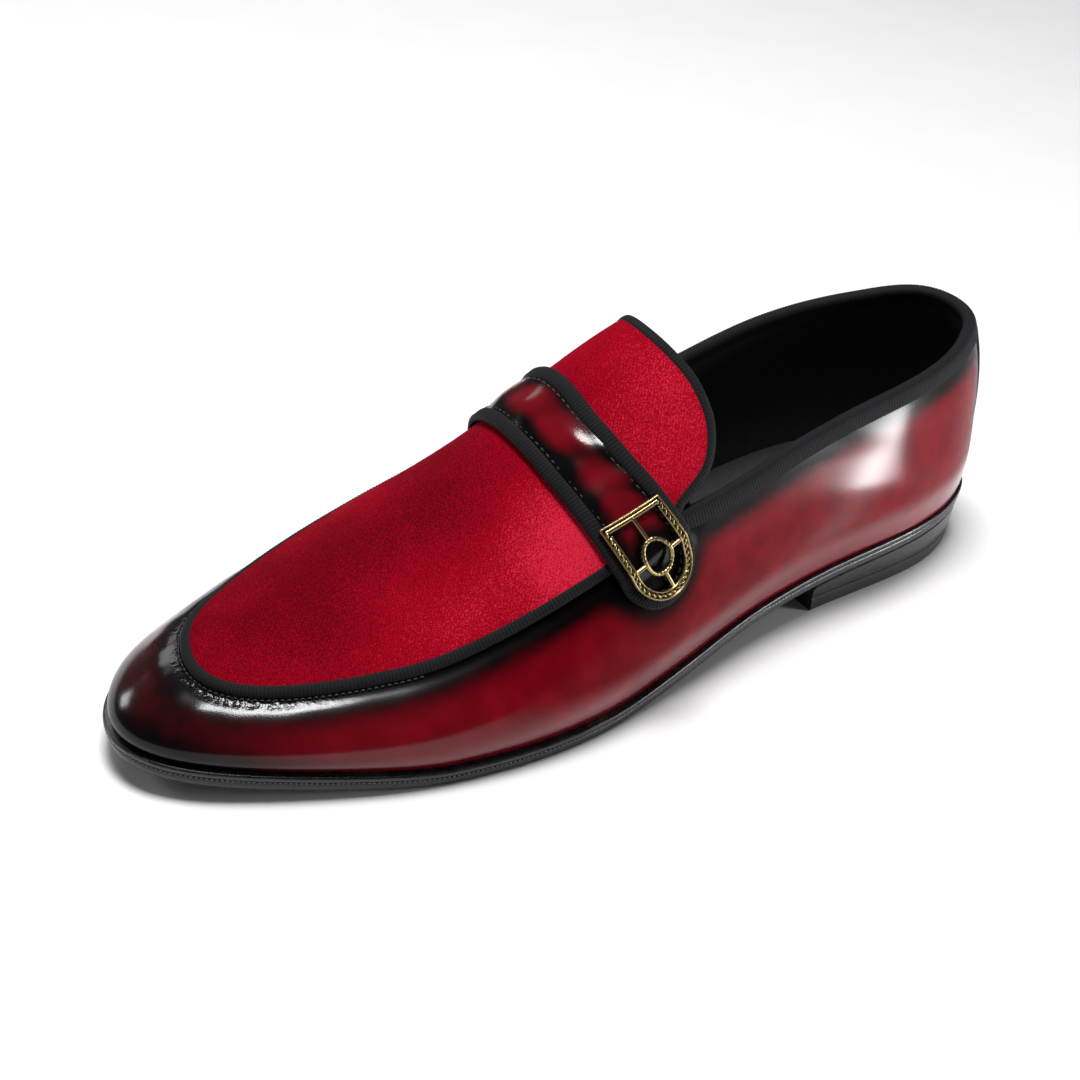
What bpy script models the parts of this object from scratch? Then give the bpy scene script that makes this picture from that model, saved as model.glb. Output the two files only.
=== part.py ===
"""A slip-on leather loafer for the left foot, empty and standing on its sole.

Metres, +Z up. The heel is at -X, the toe at +X and the outer side of the foot at +Y.
The upper is worked out from the feather line, where it meets the sole, and from the ridge
of the last above it. Each overlay is cut between two larger copies of that same surface.
"""

import math

import bmesh
import bpy
import numpy as np

# Driving sizes
LENGTH = 0.2975
BALL_WIDTH = 0.0985
HEEL_WIDTH = 0.0650
INSTEP_HEIGHT = 0.1045
TOE_HEIGHT = 0.0310
HEEL_HEIGHT = 0.0159
TOE_SPRING = 0.0070
HEEL_END_RADIUS = 0.0295
TOE_END_RADIUS = 0.0210
TOE_SWING = -0.0040

# Thicknesses
CLEARANCE = 0.0003
WALL = 0.0020
OUTSOLE = 0.0030
WELT = 0.0020
INSOLE = 0.0025
TOP_LIFT = 0.0050
VELVET = 0.0010
RIBBON = 0.0013
EDGE_RIBBON = 0.0009
STRAP = 0.0014
STRAP_RIBBON = 0.0006
BACK_STRIP = 0.0010
BADGE = 0.0018

# Widths and places of what is laid on the upper
WELT_MARGIN = 0.0020
SEAT_MARGIN = 0.0012
OUTSOLE_STEP = 0.0005
HEEL_STEP = 0.0006
HEEL_TAPER = 0.0012
HEEL_LENGTH = 0.0805
BREAST_LEAN = 0.0015
WELT_REACH = 0.0080
PLUG_RIBBON_WIDTH = 0.0034
TOPLINE_RIBBON_WIDTH = 0.0050
STRAP_WIDTH = 0.0262
STRAP_RIBBON_WIDTH = 0.0044
STRAP_INNER_END = 0.0120
BACK_STRIP_WIDTH = 0.0300
BADGE_MARGIN = 0.0026
BADGE_LENGTH = 0.0225
BADGE_RIM = 0.0030
RISE_RUN = 0.0060
RISE_AHEAD = 0.0019

# Points round the feather line and up each rib
AROUND = 68
TURN_SPREAD = 0.13
RISE_STEPS = 5
CROWN_STEPS = 7
TOPLINE_STEPS = 3
FINE = 240

# Feather line: share of LENGTH, then inner and outer half breadths as shares of the last column
BREADTHS = [
    (0.04, 0.308, 0.338, HEEL_WIDTH),
    (0.10, 0.423, 0.454, HEEL_WIDTH),
    (0.17, 0.484, 0.492, HEEL_WIDTH),
    (0.26, 0.477, 0.508, HEEL_WIDTH),
    (0.37, 0.290, 0.371, BALL_WIDTH),
    (0.50, 0.340, 0.452, BALL_WIDTH),
    (0.62, 0.462, 0.503, BALL_WIDTH),
    (0.70, 0.508, 0.492, BALL_WIDTH),
    (0.78, 0.495, 0.445, BALL_WIDTH),
    (0.86, 0.424, 0.357, BALL_WIDTH),
    (0.93, 0.315, 0.260, BALL_WIDTH),
    (0.97, 0.213, 0.181, BALL_WIDTH),
]

# Underside of the sole: share of LENGTH, height as a share of the last column
SOLE_HEIGHTS = [
    (0.00, 1.00, HEEL_HEIGHT),
    (0.12, 0.87, HEEL_HEIGHT),
    (0.25, 0.72, HEEL_HEIGHT),
    (0.36, 0.52, HEEL_HEIGHT),
    (0.48, 0.18, HEEL_HEIGHT),
    (0.58, 0.00, HEEL_HEIGHT),
    (0.74, 0.00, TOE_SPRING),
    (0.82, 0.27, TOE_SPRING),
    (0.91, 0.60, TOE_SPRING),
    (1.00, 1.00, TOE_SPRING),
]

# Ridge of the last: share of LENGTH, height as a share of the last column
RIDGE_HEIGHTS = [
    (0.00, 0.95, INSTEP_HEIGHT),
    (0.15, 0.99, INSTEP_HEIGHT),
    (0.30, 1.00, INSTEP_HEIGHT),
    (0.40, 0.98, INSTEP_HEIGHT),
    (0.50, 0.865, INSTEP_HEIGHT),
    (0.60, 0.655, INSTEP_HEIGHT),
    (0.70, 0.501, INSTEP_HEIGHT),
    (0.80, 0.394, INSTEP_HEIGHT),
    (0.90, 1.09, TOE_HEIGHT),
    (1.00, 1.00, TOE_HEIGHT),
]

# Sections across the last: share of LENGTH, how square the wall stands, how square the crown
# lies, and three shares of BALL_WIDTH: swell of the outer and of the inner wall, ridge's place
SECTIONS = [
    (0.00, 3.2, 2.60, 0.006, 0.010, 0.00),
    (0.15, 3.0, 2.50, 0.026, 0.030, 0.00),
    (0.30, 2.6, 2.20, 0.045, 0.035, 0.00),
    (0.40, 2.3, 2.03, 0.051, 0.033, -0.02),
    (0.50, 2.2, 1.90, 0.052, 0.027, -0.04),
    (0.60, 2.2, 1.80, 0.048, 0.020, -0.06),
    (0.70, 2.2, 1.80, 0.042, 0.014, -0.07),
    (0.80, 2.2, 1.88, 0.036, 0.007, -0.06),
    (0.90, 2.3, 2.00, 0.030, 0.004, -0.05),
    (1.00, 2.4, 2.14, 0.022, 0.006, -0.04),
]

# Seam round the velvet plug: share of LENGTH, then its way up the inner and the outer wall
# from the feather line, as shares of BALL_WIDTH
SEAM = [
    (0.00, 0.600, 0.600),
    (0.40, 0.600, 0.600),
    (0.48, 0.555, 0.545),
    (0.60, 0.475, 0.446),
    (0.66, 0.428, 0.389),
    (0.73, 0.373, 0.331),
    (0.80, 0.328, 0.279),
    (0.85, 0.302, 0.251),
    (0.90, 0.283, 0.230),
    (0.94, 0.282, 0.226),
    (0.96, 0.288, 0.236),
    (0.98, 0.299, 0.262),
    (1.00, 0.311, 0.311),
]

# Edge of the opening from the side: shares of LENGTH from its middle and of INSTEP_HEIGHT
TOPLINE = [
    (-0.560, 0.770),
    (-0.500, 0.767),
    (-0.450, 0.756),
    (-0.400, 0.731),
    (-0.330, 0.703),
    (-0.260, 0.679),
    (-0.180, 0.643),
    (-0.110, 0.604),
    (-0.060, 0.582),
    (-0.026, 0.571),
]

# Throat of the upper, covered by the tongue, from the end of the topline up over the ridge
THROAT = [
    (-0.016, 0.600),
    (-0.006, 0.680),
    (0.004, 0.800),
    (0.012, 0.960),
    (0.016, 1.300),
]

# Edge of the tongue from the side, from the seam up and round to the ridge
TONGUE = [
    (-0.012, 0.520),
    (-0.019, 0.575),
    (-0.039, 0.613),
    (-0.059, 0.652),
    (-0.072, 0.712),
    (-0.077, 0.776),
    (-0.074, 0.845),
    (-0.064, 0.909),
    (-0.050, 0.966),
    (-0.030, 1.030),
    (0.000, 1.120),
]

# Middle of the strap from the side, from over the ridge down to its end on the outer side, and
# how broad it looks from there: it slopes away over the ridge, so it looks narrower
STRAP_LINE = [
    (0.0590, 1.060, 0.74),
    (0.0585, 0.880, 0.76),
    (0.0590, 0.780, 0.79),
    (0.0505, 0.684, 0.85),
    (0.0363, 0.593, 0.92),
    (0.0217, 0.493, 0.98),
    (0.0040, 0.368, 1.00),
]

SPINE_BACK = -0.368
SPINE_FRONT = 0.343

RED_LEATHER = (0.20, 0.010, 0.022)
RED_VELVET = (0.48, 0.008, 0.024)
BLACK_RIBBON = (0.022, 0.023, 0.026)
BLACK_SOLE = (0.012, 0.012, 0.013)
BLACK_LINING = (0.015, 0.015, 0.016)
CORK = (0.32, 0.19, 0.10)
OLD_BRASS = (0.42, 0.33, 0.17)


def steady_curve(rows, at):
    """A smooth curve through rows of place and value that never overshoots a row."""
    places = np.array([row[0] for row in rows])
    values = np.array([row[1] for row in rows])
    widths = np.diff(places)
    rates = np.diff(values) / widths
    slopes = np.zeros(len(rows))
    for i in range(1, len(rows) - 1):
        if rates[i - 1] * rates[i] > 0.0:
            before = 2.0 * widths[i] + widths[i - 1]
            after = widths[i] + 2.0 * widths[i - 1]
            slopes[i] = (before + after) / (before / rates[i - 1] + after / rates[i])
    slopes[0] = rates[0]
    slopes[-1] = rates[-1]
    at = np.clip(at, places[0], places[-1])
    i = np.clip(np.searchsorted(places, at) - 1, 0, len(widths) - 1)
    t = (at - places[i]) / widths[i]
    start = (1 + 2 * t) * (1 - t) ** 2 * values[i] + t * (1 - t) ** 2 * widths[i] * slopes[i]
    end = t * t * (3 - 2 * t) * values[i + 1] + t * t * (t - 1) * widths[i] * slopes[i + 1]
    return start + end


def even_curve(rows, at):
    """A cubic spline through rows of place and value, level at both ends."""
    places = np.array([row[0] for row in rows])
    values = np.array([row[1] for row in rows])
    widths = np.diff(places)
    rates = np.diff(values) / widths
    count = len(rows)
    system = np.eye(count)
    wanted = np.zeros(count)
    for i in range(1, count - 1):
        system[i, i - 1] = widths[i]
        system[i, i] = 2.0 * (widths[i] + widths[i - 1])
        system[i, i + 1] = widths[i - 1]
        wanted[i] = 3.0 * (widths[i] * rates[i - 1] + widths[i - 1] * rates[i])
    slopes = np.linalg.solve(system, wanted)
    at = np.clip(at, places[0], places[-1])
    i = np.clip(np.searchsorted(places, at) - 1, 0, len(widths) - 1)
    t = (at - places[i]) / widths[i]
    start = (1 + 2 * t) * (1 - t) ** 2 * values[i] + t * (1 - t) ** 2 * widths[i] * slopes[i]
    end = t * t * (3 - 2 * t) * values[i + 1] + t * t * (t - 1) * widths[i] * slopes[i + 1]
    return start + end


def column(rows, index):
    """Place and one column of a table."""
    return [(row[0], row[index]) for row in rows]


def share_of(x):
    return np.asarray(x) / LENGTH + 0.5


def sole_height(x):
    rows = [(share, height * size) for share, height, size in SOLE_HEIGHTS]
    return steady_curve(rows, share_of(x))


def feather_height(x):
    return sole_height(x) + OUTSOLE + WELT + 2 * CLEARANCE


def ridge_height(x):
    rows = [(share, height * size) for share, height, size in RIDGE_HEIGHTS]
    return even_curve(rows, share_of(x))


def feather_line(turn):
    """Plan of the feather line: turn is 0 at the back of the heel and pi at the toe."""
    turn = np.asarray(turn, dtype=float)
    half = np.arccos(np.cos(turn))
    sides = []
    for index in (1, 2):
        rows = [(0.0, math.sqrt(HEEL_END_RADIUS * LENGTH / 2))]
        for row in BREADTHS:
            swing = 2.0 * math.sqrt(row[0] * (1.0 - row[0]))
            rows.append((math.acos(1.0 - 2.0 * row[0]), row[index] * row[3] / swing))
        rows.append((math.pi, math.sqrt(TOE_END_RADIUS * LENGTH / 2)))
        sides.append(even_curve(rows, half))
    reach = np.where(np.sin(turn) >= 0.0, sides[1], sides[0])
    share = (1.0 - np.cos(turn)) / 2.0
    x = (share - 0.5) * LENGTH
    y = np.sin(turn) * reach + TOE_SWING * np.clip((share - 0.6) / 0.4, 0.0, 1.0) ** 2
    return np.stack([x, y], axis=-1)


def feather_outward(turn):
    """Unit normals of the feather line in plan, pointing away from the shoe."""
    step = 1e-3
    along = feather_line(turn + step) - feather_line(turn - step)
    normal = np.stack([-along[..., 1], along[..., 0]], axis=-1)
    return normal / np.linalg.norm(normal, axis=-1, keepdims=True)


def last_surface(turn, lift):
    """Points of the last: lift is 0 at the feather line and pi/2 at the ridge."""
    turn, lift = np.broadcast_arrays(turn, lift)
    foot = feather_line(turn)
    share = share_of(foot[..., 0])
    wall = even_curve(column(SECTIONS, 1), share)
    crown = even_curve(column(SECTIONS, 2), share)
    outer = 0.5 * (1.0 + np.tanh(4.0 * np.sin(turn)))
    swell = even_curve(column(SECTIONS, 3), share) * outer
    swell = (swell + even_curve(column(SECTIONS, 4), share) * (1.0 - outer)) * BALL_WIDTH
    rise = np.sin(lift) ** (2.0 / wall)
    inward = 1.0 - np.cos(lift) ** (2.0 / crown)
    middle = (SPINE_BACK + SPINE_FRONT) / 2 * LENGTH
    spine_x = middle + (SPINE_FRONT - SPINE_BACK) * foot[..., 0]
    spine_y = even_curve(column(SECTIONS, 5), share_of(spine_x)) * BALL_WIDTH
    out = swell * 6.75 * rise * (1.0 - rise) ** 2
    normal = feather_outward(turn)
    x = foot[..., 0] + (spine_x - foot[..., 0]) * inward + normal[..., 0] * out
    y = foot[..., 1] + (spine_y - foot[..., 1]) * inward + normal[..., 1] * out
    low = feather_height(foot[..., 0])
    z = low + (ridge_height(x) - low) * rise
    return np.stack([x, y, z], axis=-1)


def rib(turn, seam_inset=0.0):
    """One rib: its fine points, their run from the feather line, and the seam's run."""
    lift = np.linspace(0.0, math.pi / 2, FINE)
    points = last_surface(np.full(FINE, turn), lift)
    run = np.concatenate([[0.0], np.cumsum(np.linalg.norm(np.diff(points, axis=0), axis=1))])
    share = (1.0 - math.cos(turn)) / 2.0
    side = 2 if math.sin(turn) >= 0.0 else 1
    seam_run = float(even_curve(column(SEAM, side), share)) * BALL_WIDTH
    return points, run, seam_run + seam_inset


def along_rib(points, run, wanted):
    return np.stack([np.interp(wanted, run, points[:, i]) for i in range(3)], axis=-1)


def spread_turns(shift=0.0):
    """Turns round the shoe, closer together at the toe and at the heel."""
    even = (np.arange(AROUND) + shift) * 2.0 * math.pi / AROUND
    return even - TURN_SPREAD * np.sin(2.0 * even)


def last_grid():
    """The last as a grid: corner points, faces, and how far each point is up over the plug."""
    turns = spread_turns()
    rows = []
    rises = []
    for turn in turns:
        points, run, seam = rib(turn)
        below = np.linspace(0.0, seam - RISE_AHEAD - RISE_RUN, RISE_STEPS)
        above = np.linspace(seam - RISE_AHEAD, run[-1], CROWN_STEPS)
        rows.append(along_rib(points, run, np.concatenate([below, above])))
        rises.append([0.0] * RISE_STEPS + [1.0] * CROWN_STEPS)
    grid = np.array(rows)
    levels = grid.shape[1]
    index = np.arange(AROUND * levels).reshape(AROUND, levels)
    for i in range(1, AROUND // 2):
        grid[AROUND - i, -1] = grid[i, -1]
        index[AROUND - i, -1] = index[i, -1]
    faces = []
    for i in range(AROUND):
        j = (i + 1) % AROUND
        for k in range(levels - 1):
            a, b, c, d = index[j, k], index[i, k], index[i, k + 1], index[j, k + 1]
            if i < AROUND // 2:
                halves = [[a, b, c], [a, c, d]]
            else:
                halves = [[a, b, d], [b, c, d]]
            faces += [half for half in halves if len(set(half)) == 3]
    rim = [int(index[i, 0]) for i in range(AROUND)]
    return grid.reshape(-1, 3), faces, rim, np.array(rises).reshape(-1)


def grid_normals(points, faces):
    """A normal for each grid point, the mean of the faces round it."""
    normals = np.zeros_like(points)
    for face in faces:
        a, b, c = points[face[0]], points[face[1]], points[face[2]]
        normal = np.cross(b - a, c - a)
        for corner in face:
            normals[corner] += normal
    lengths = np.linalg.norm(normals, axis=1, keepdims=True)
    return normals / np.where(lengths > 0.0, lengths, 1.0)


GRID, GRID_FACES, GRID_RIM, GRID_RISE = last_grid()
GRID_NORMALS = grid_normals(GRID, GRID_FACES)


def grown(offset, over=0.0):
    """The last's points moved out by offset, and by a further amount where they lie over the plug."""
    points = GRID + GRID_NORMALS * (offset + over * GRID_RISE)[:, None]
    rim = np.array(GRID_RIM)
    points[rim, 2] = feather_height(GRID[rim, 0])
    return points


def mesh_object(name, points, faces, group):
    mesh = bpy.data.meshes.new(name)
    corners = [tuple(float(v) for v in point) for point in points]
    mesh.from_pydata(corners, [], [[int(n) for n in face] for face in faces])
    body = bmesh.new()
    body.from_mesh(mesh)
    loose = [v for v in body.verts if not v.link_faces]
    bmesh.ops.delete(body, geom=loose, context="VERTS")
    body.to_mesh(mesh)
    body.free()
    made = bpy.data.objects.new(name, mesh)
    group.objects.link(made)
    return made


def skin(name, low, high, over, group):
    """The closed solid between two grown copies of the last, open at the feather line."""
    inner = grown(np.full(len(GRID), low), over)
    outer = grown(np.full(len(GRID), high), over)
    count = len(GRID)
    faces = [face for face in GRID_FACES]
    faces += [[corner + count for corner in reversed(face)] for face in GRID_FACES]
    for n, corner in enumerate(GRID_RIM):
        before = GRID_RIM[n - 1]
        faces.append([before, corner, corner + count, before + count])
    return mesh_object(name, np.concatenate([outer, inner]), faces, group)


def side_cutter(name, outline, group, near=-0.2, far=0.2):
    """A profile in X and Z, carried through from side to side."""
    count = len(outline)
    points = [(x, near, z) for x, z in outline] + [(x, far, z) for x, z in outline]
    area = sum(outline[n - 1][0] * p[1] - p[0] * outline[n - 1][1] for n, p in enumerate(outline))
    first = list(range(count))
    faces = [first, [count + n for n in reversed(first)]]
    faces += [[(n + 1) % count, n, count + n, count + (n + 1) % count] for n in range(count)]
    if area < 0.0:
        faces = [list(reversed(face)) for face in faces]
    return mesh_object(name, points, faces, group)


def plan_cutter(name, outline, group, low=-0.01, high=0.2):
    """A profile in X and Y, carried from low to high."""
    count = len(outline)
    points = [(x, y, low) for x, y in outline] + [(x, y, high) for x, y in outline]
    area = sum(outline[n - 1][0] * p[1] - p[0] * outline[n - 1][1] for n, p in enumerate(outline))
    first = list(range(count))
    faces = [list(reversed(first)), [count + n for n in first]]
    faces += [[n, (n + 1) % count, count + (n + 1) % count, count + n] for n in range(count)]
    if area < 0.0:
        faces = [list(reversed(face)) for face in faces]
    return mesh_object(name, points, faces, group)


def combine(body, other, operation):
    """Add, subtract or intersect two closed meshes, and keep the result in the first."""
    step = body.modifiers.new(operation.lower(), "BOOLEAN")
    step.operation = operation
    step.solver = "EXACT"
    step.object = other
    graph = bpy.context.evaluated_depsgraph_get()
    result = bpy.data.meshes.new_from_object(body.evaluated_get(graph))
    body.modifiers.clear()
    old = body.data
    body.data = result
    bpy.data.meshes.remove(old)
    return body


def tidy(body):
    """Merge the slivers that a cut leaves and keep the surface closed."""
    work = bmesh.new()
    work.from_mesh(body.data)
    bmesh.ops.remove_doubles(work, verts=work.verts, dist=0.00002)
    bmesh.ops.dissolve_degenerate(work, edges=work.edges, dist=0.00001)
    bmesh.ops.triangulate(work, faces=work.faces)
    work.to_mesh(body.data)
    work.free()
    return body


def between(rows, sizes, steps=6):
    """Points of a smooth curve through a table of side-view shares."""
    points = np.array(rows) * np.array(sizes)
    run = np.concatenate([[0.0], np.cumsum(np.linalg.norm(np.diff(points, axis=0), axis=1))])
    at = np.linspace(0.0, run[-1], steps * (len(rows) - 1) + 1)
    x = steady_curve(list(zip(run, points[:, 0])), at)
    z = steady_curve(list(zip(run, points[:, 1])), at)
    return np.stack([x, z], axis=-1)


def moved_aside(curve, distance):
    """A curve moved to the left of its own direction."""
    along = np.gradient(curve, axis=0)
    along = along / np.linalg.norm(along, axis=1, keepdims=True)
    return curve + np.stack([-along[:, 1], along[:, 0]], axis=-1) * distance


def topline_cutter(name, drop, group):
    """All that lies above the opening's edge, lowered by drop, and behind the throat."""
    edge = moved_aside(between(TOPLINE, (LENGTH, INSTEP_HEIGHT), TOPLINE_STEPS), -drop)
    throat = moved_aside(between(THROAT, (LENGTH, INSTEP_HEIGHT), 2), -drop)
    outline = [tuple(p) for p in edge] + [tuple(p) for p in throat]
    outline.append((outline[0][0], outline[-1][1]))
    return side_cutter(name, outline, group)


def seam_cutter(name, inset, group):
    """All that lies over the plug: its wall stands square to the last along the seam."""
    turns = spread_turns(0.5)
    low, high, top = [], [], []
    for turn in turns:
        points, run, seam = rib(turn, inset)
        place = along_rib(points, run, np.array([seam]))[0]
        up = along_rib(points, run, np.array([min(seam + 0.002, run[-1])]))[0] - place
        down = place - along_rib(points, run, np.array([seam - 0.002]))[0]
        rising = up / np.linalg.norm(up) + down / np.linalg.norm(down)
        flat = feather_outward(np.array([turn]))[0]
        level = np.array([-flat[1], flat[0], 0.0])
        square = np.cross(level, rising)
        square = square / np.linalg.norm(square)
        if square[2] < 0.0:
            square = -square
        low.append(place - square * 0.004)
        high.append(place + square * 0.009)
        top.append((high[-1][0], high[-1][1], 0.16))
    points = low + high + top
    faces = []
    for ring in (0, 1):
        for n in range(AROUND):
            m = (n + 1) % AROUND
            a, b = ring * AROUND, (ring + 1) * AROUND
            faces.append([a + m, a + n, b + n, b + m])
    for n in range(AROUND // 2 - 1):
        face = [n, n + 1, AROUND - 2 - n, AROUND - 1 - n]
        faces.append(face)
        faces.append([corner + 2 * AROUND for corner in reversed(face)])
    return mesh_object(name, points, faces, group)


def tongue_cutter(name, inset, group):
    """All that lies in front of the tongue's edge, from the side."""
    edge = moved_aside(between(TONGUE, (LENGTH, INSTEP_HEIGHT), 3), -inset)
    outline = [tuple(p) for p in edge]
    outline += [(0.2, outline[-1][1]), (0.2, 0.0), (outline[0][0], 0.0)]
    return side_cutter(name, outline, group)


def plug_cutter(name, inset, group):
    """The plug with its tongue, drawn in from its edge by inset."""
    made = seam_cutter(name, inset, group)
    return combine(made, tongue_cutter(name + "_tongue", inset, group), "INTERSECT")


def strap_line():
    """Points along the middle of the strap from the side, their run and the way at each."""
    line = between([row[:2] for row in STRAP_LINE], (LENGTH, INSTEP_HEIGHT), 6)
    run = np.concatenate([[0.0], np.cumsum(np.linalg.norm(np.diff(line, axis=0), axis=1))])
    way = np.gradient(line, axis=0)
    return line, run, way / np.linalg.norm(way, axis=1, keepdims=True)


def strap_place(at, aside=0.0):
    """A point at a run along the strap and a distance aside of its middle, towards the toe."""
    line, run, way = strap_line()
    down = np.array([np.interp(at, run, way[:, 0]), np.interp(at, run, way[:, 1])])
    down = down / np.linalg.norm(down)
    place = np.array([np.interp(at, run, line[:, 0]), np.interp(at, run, line[:, 1])])
    rows = [(row[1], row[2]) for row in reversed(STRAP_LINE)]
    breadth = float(steady_curve(rows, place[1] / INSTEP_HEIGHT))
    return place + np.array([-down[1], down[0]]) * aside * breadth


def strap_end():
    return float(strap_line()[1][-1])


def round_ended(start, inset, steps=12):
    """The strap's outline from the side, drawn in by inset, with its round outer end."""
    half = STRAP_WIDTH / 2 - inset
    turn_in = strap_end() - STRAP_WIDTH / 2
    places = np.linspace(start, turn_in, 9)
    points = [strap_place(at, half) for at in places]
    for n in range(1, steps):
        angle = math.pi * n / steps
        points.append(strap_place(turn_in + half * math.sin(angle), half * math.cos(angle)))
    points += [strap_place(at, -half) for at in places[::-1]]
    return [tuple(p) for p in points]


def square_ended(start, inset):
    """The strap's outline from the side with its square inner end."""
    half = STRAP_WIDTH / 2 - inset
    places = np.linspace(start, strap_end() - STRAP_INNER_END - inset, 9)
    points = [strap_place(at, half) for at in places]
    points += [strap_place(at, -half) for at in places[::-1]]
    return [tuple(p) for p in points]


def strap_cutter(name, inset, group):
    """The strap's outline from each side, round at the outer end and square at the inner."""
    ridge = -0.004
    made = side_cutter(name, round_ended(0.0, inset), group, near=ridge, far=0.2)
    inner = square_ended(0.0, inset)
    other = side_cutter(name + "_inner", inner, group, near=-0.2, far=ridge + 0.001)
    combine(made, other, "UNION")
    return made


def outline_points(margin, less_at_heel=WELT_MARGIN - SEAT_MARGIN):
    """Plan of the feather line moved out by margin, and by less at the seat of the heel."""
    turns = spread_turns()
    plan = feather_line(turns)
    edge = np.interp(share_of(plan[:, 0]), [0.25, 0.6], [margin - less_at_heel, margin])
    return [tuple(p) for p in plan + feather_outward(turns) * edge[:, None]]


def sheet_profile(low, high, steps=30):
    """A side profile that follows the sole's underside, between two distances over it."""
    reach = LENGTH / 2 + 0.01
    x = np.linspace(reach, -reach, steps + 1)
    x = np.sort(np.concatenate([x, (np.array([0.58, 0.74]) - 0.5) * LENGTH]))[::-1]
    height = sole_height(x)
    top = [(float(a), float(b) + high) for a, b in zip(x, height)]
    bottom = [(float(a), float(b) + low) for a, b in zip(x, height)]
    return top + bottom[::-1]


def sole_layer(name, plan, low, high, group, cutters):
    body = plan_cutter(name, plan, group)
    profile = side_cutter(name + "_profile", sheet_profile(low, high), cutters)
    return combine(body, profile, "INTERSECT")


def finish(body, colour, roughness, metallic=0.0):
    """Tidy a finished piece, shade its round sides smooth and give it its material."""
    tidy(body)
    body.data.shade_smooth()
    body.data.set_sharp_from_angle(angle=math.radians(35.0))
    made = bpy.data.materials.new(body.name)
    made.use_nodes = True
    shader = made.node_tree.nodes["Principled BSDF"]
    shader.inputs["Base Color"].default_value = (*colour, 1.0)
    shader.inputs["Roughness"].default_value = roughness
    shader.inputs["Metallic"].default_value = metallic
    body.data.materials.clear()
    body.data.materials.append(made)
    made.diffuse_color = (*colour, 1.0)


def build_sole(parts, cutters):
    welt_plan = outline_points(WELT_MARGIN)
    sole_plan = outline_points(WELT_MARGIN - OUTSOLE_STEP)
    outsole = sole_layer("outsole", sole_plan, 0.0, OUTSOLE, parts, cutters)
    welt_low = OUTSOLE + CLEARANCE
    welt = sole_layer("welt", welt_plan, welt_low, welt_low + WELT, parts, cutters)
    hole = plan_cutter("welt_hole", outline_points(-WELT_REACH), cutters)
    combine(welt, hole, "DIFFERENCE")
    filler_plan = outline_points(-WELT_REACH - CLEARANCE)
    filler = sole_layer("filler", filler_plan, welt_low, welt_low + WELT, parts, cutters)
    insole_low = welt_low + WELT + CLEARANCE
    insole_plan = outline_points(-(WALL + 2 * CLEARANCE), 0.0)
    insole = sole_layer("insole", insole_plan, insole_low, insole_low + INSOLE, parts, cutters)
    finish(outsole, BLACK_SOLE, 0.35)
    finish(welt, BLACK_SOLE, 0.40)
    finish(filler, CORK, 0.90)
    finish(insole, BLACK_LINING, 0.60)
    return [outsole, welt, filler, insole]


def heel_stack(name, low, high, taper_low, taper_high, group, cutters):
    """A layer of the heel between two heights, a little smaller in plan towards the floor."""
    rings = []
    for height, taper in ((low, taper_low), (high, taper_high)):
        plan = outline_points(WELT_MARGIN - OUTSOLE_STEP - HEEL_STEP - taper)
        rings.append([(x, y, height) for x, y in plan])
    count = len(rings[0])
    faces = [list(range(count)), [2 * count - 1 - n for n in range(count)]]
    faces += [[(n + 1) % count, n, count + n, count + (n + 1) % count] for n in range(count)]
    made = mesh_object(name, rings[0] + rings[1], faces, group)
    breast = -LENGTH / 2 + HEEL_LENGTH
    lean = BREAST_LEAN / HEEL_HEIGHT
    foot = (breast - 0.01 * lean, -0.01)
    head = (breast + 0.05 * lean, 0.05)
    front = [(-0.2, foot[1]), foot, head, (-0.2, head[1])]
    return combine(made, side_cutter(name + "_breast", front, cutters), "INTERSECT")


def build_heel(parts, cutters):
    lift = heel_stack("top_lift", 0.0, TOP_LIFT, HEEL_TAPER, HEEL_TAPER * 0.7, parts, cutters)
    block_low = TOP_LIFT + CLEARANCE
    block = heel_stack("heel_block", block_low, 0.03, HEEL_TAPER * 0.7, -0.0004, parts, cutters)
    under = sheet_profile(-0.04, -CLEARANCE)
    combine(block, side_cutter("heel_seat", under, cutters), "INTERSECT")
    finish(lift, BLACK_SOLE, 0.45)
    finish(block, BLACK_SOLE, 0.30)
    return [lift, block]


def build_upper(parts, cutters):
    upper = skin("upper", -WALL, 0.0, 0.0, parts)
    combine(upper, topline_cutter("opening", 0.0, cutters), "DIFFERENCE")
    finish(upper, RED_LEATHER, 0.22)
    return [upper]


def build_plug(parts, cutters):
    """Velvet plug and tongue in one piece, with the ribbon sewn round its edge."""
    edge = plug_cutter("plug_edge", 0.0, cutters)
    combine(edge, plug_cutter("plug_middle", PLUG_RIBBON_WIDTH, cutters), "DIFFERENCE")
    ribbon = skin("plug_ribbon", CLEARANCE, CLEARANCE + RIBBON, 0.0, parts)
    combine(ribbon, edge, "INTERSECT")
    velvet = skin("velvet_plug", CLEARANCE, CLEARANCE + VELVET, 0.0, parts)
    inset = PLUG_RIBBON_WIDTH + CLEARANCE
    combine(velvet, plug_cutter("velvet_edge", inset, cutters), "INTERSECT")
    finish(ribbon, BLACK_RIBBON, 0.80)
    finish(velvet, RED_VELVET, 0.90)
    return [ribbon, velvet]


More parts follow.
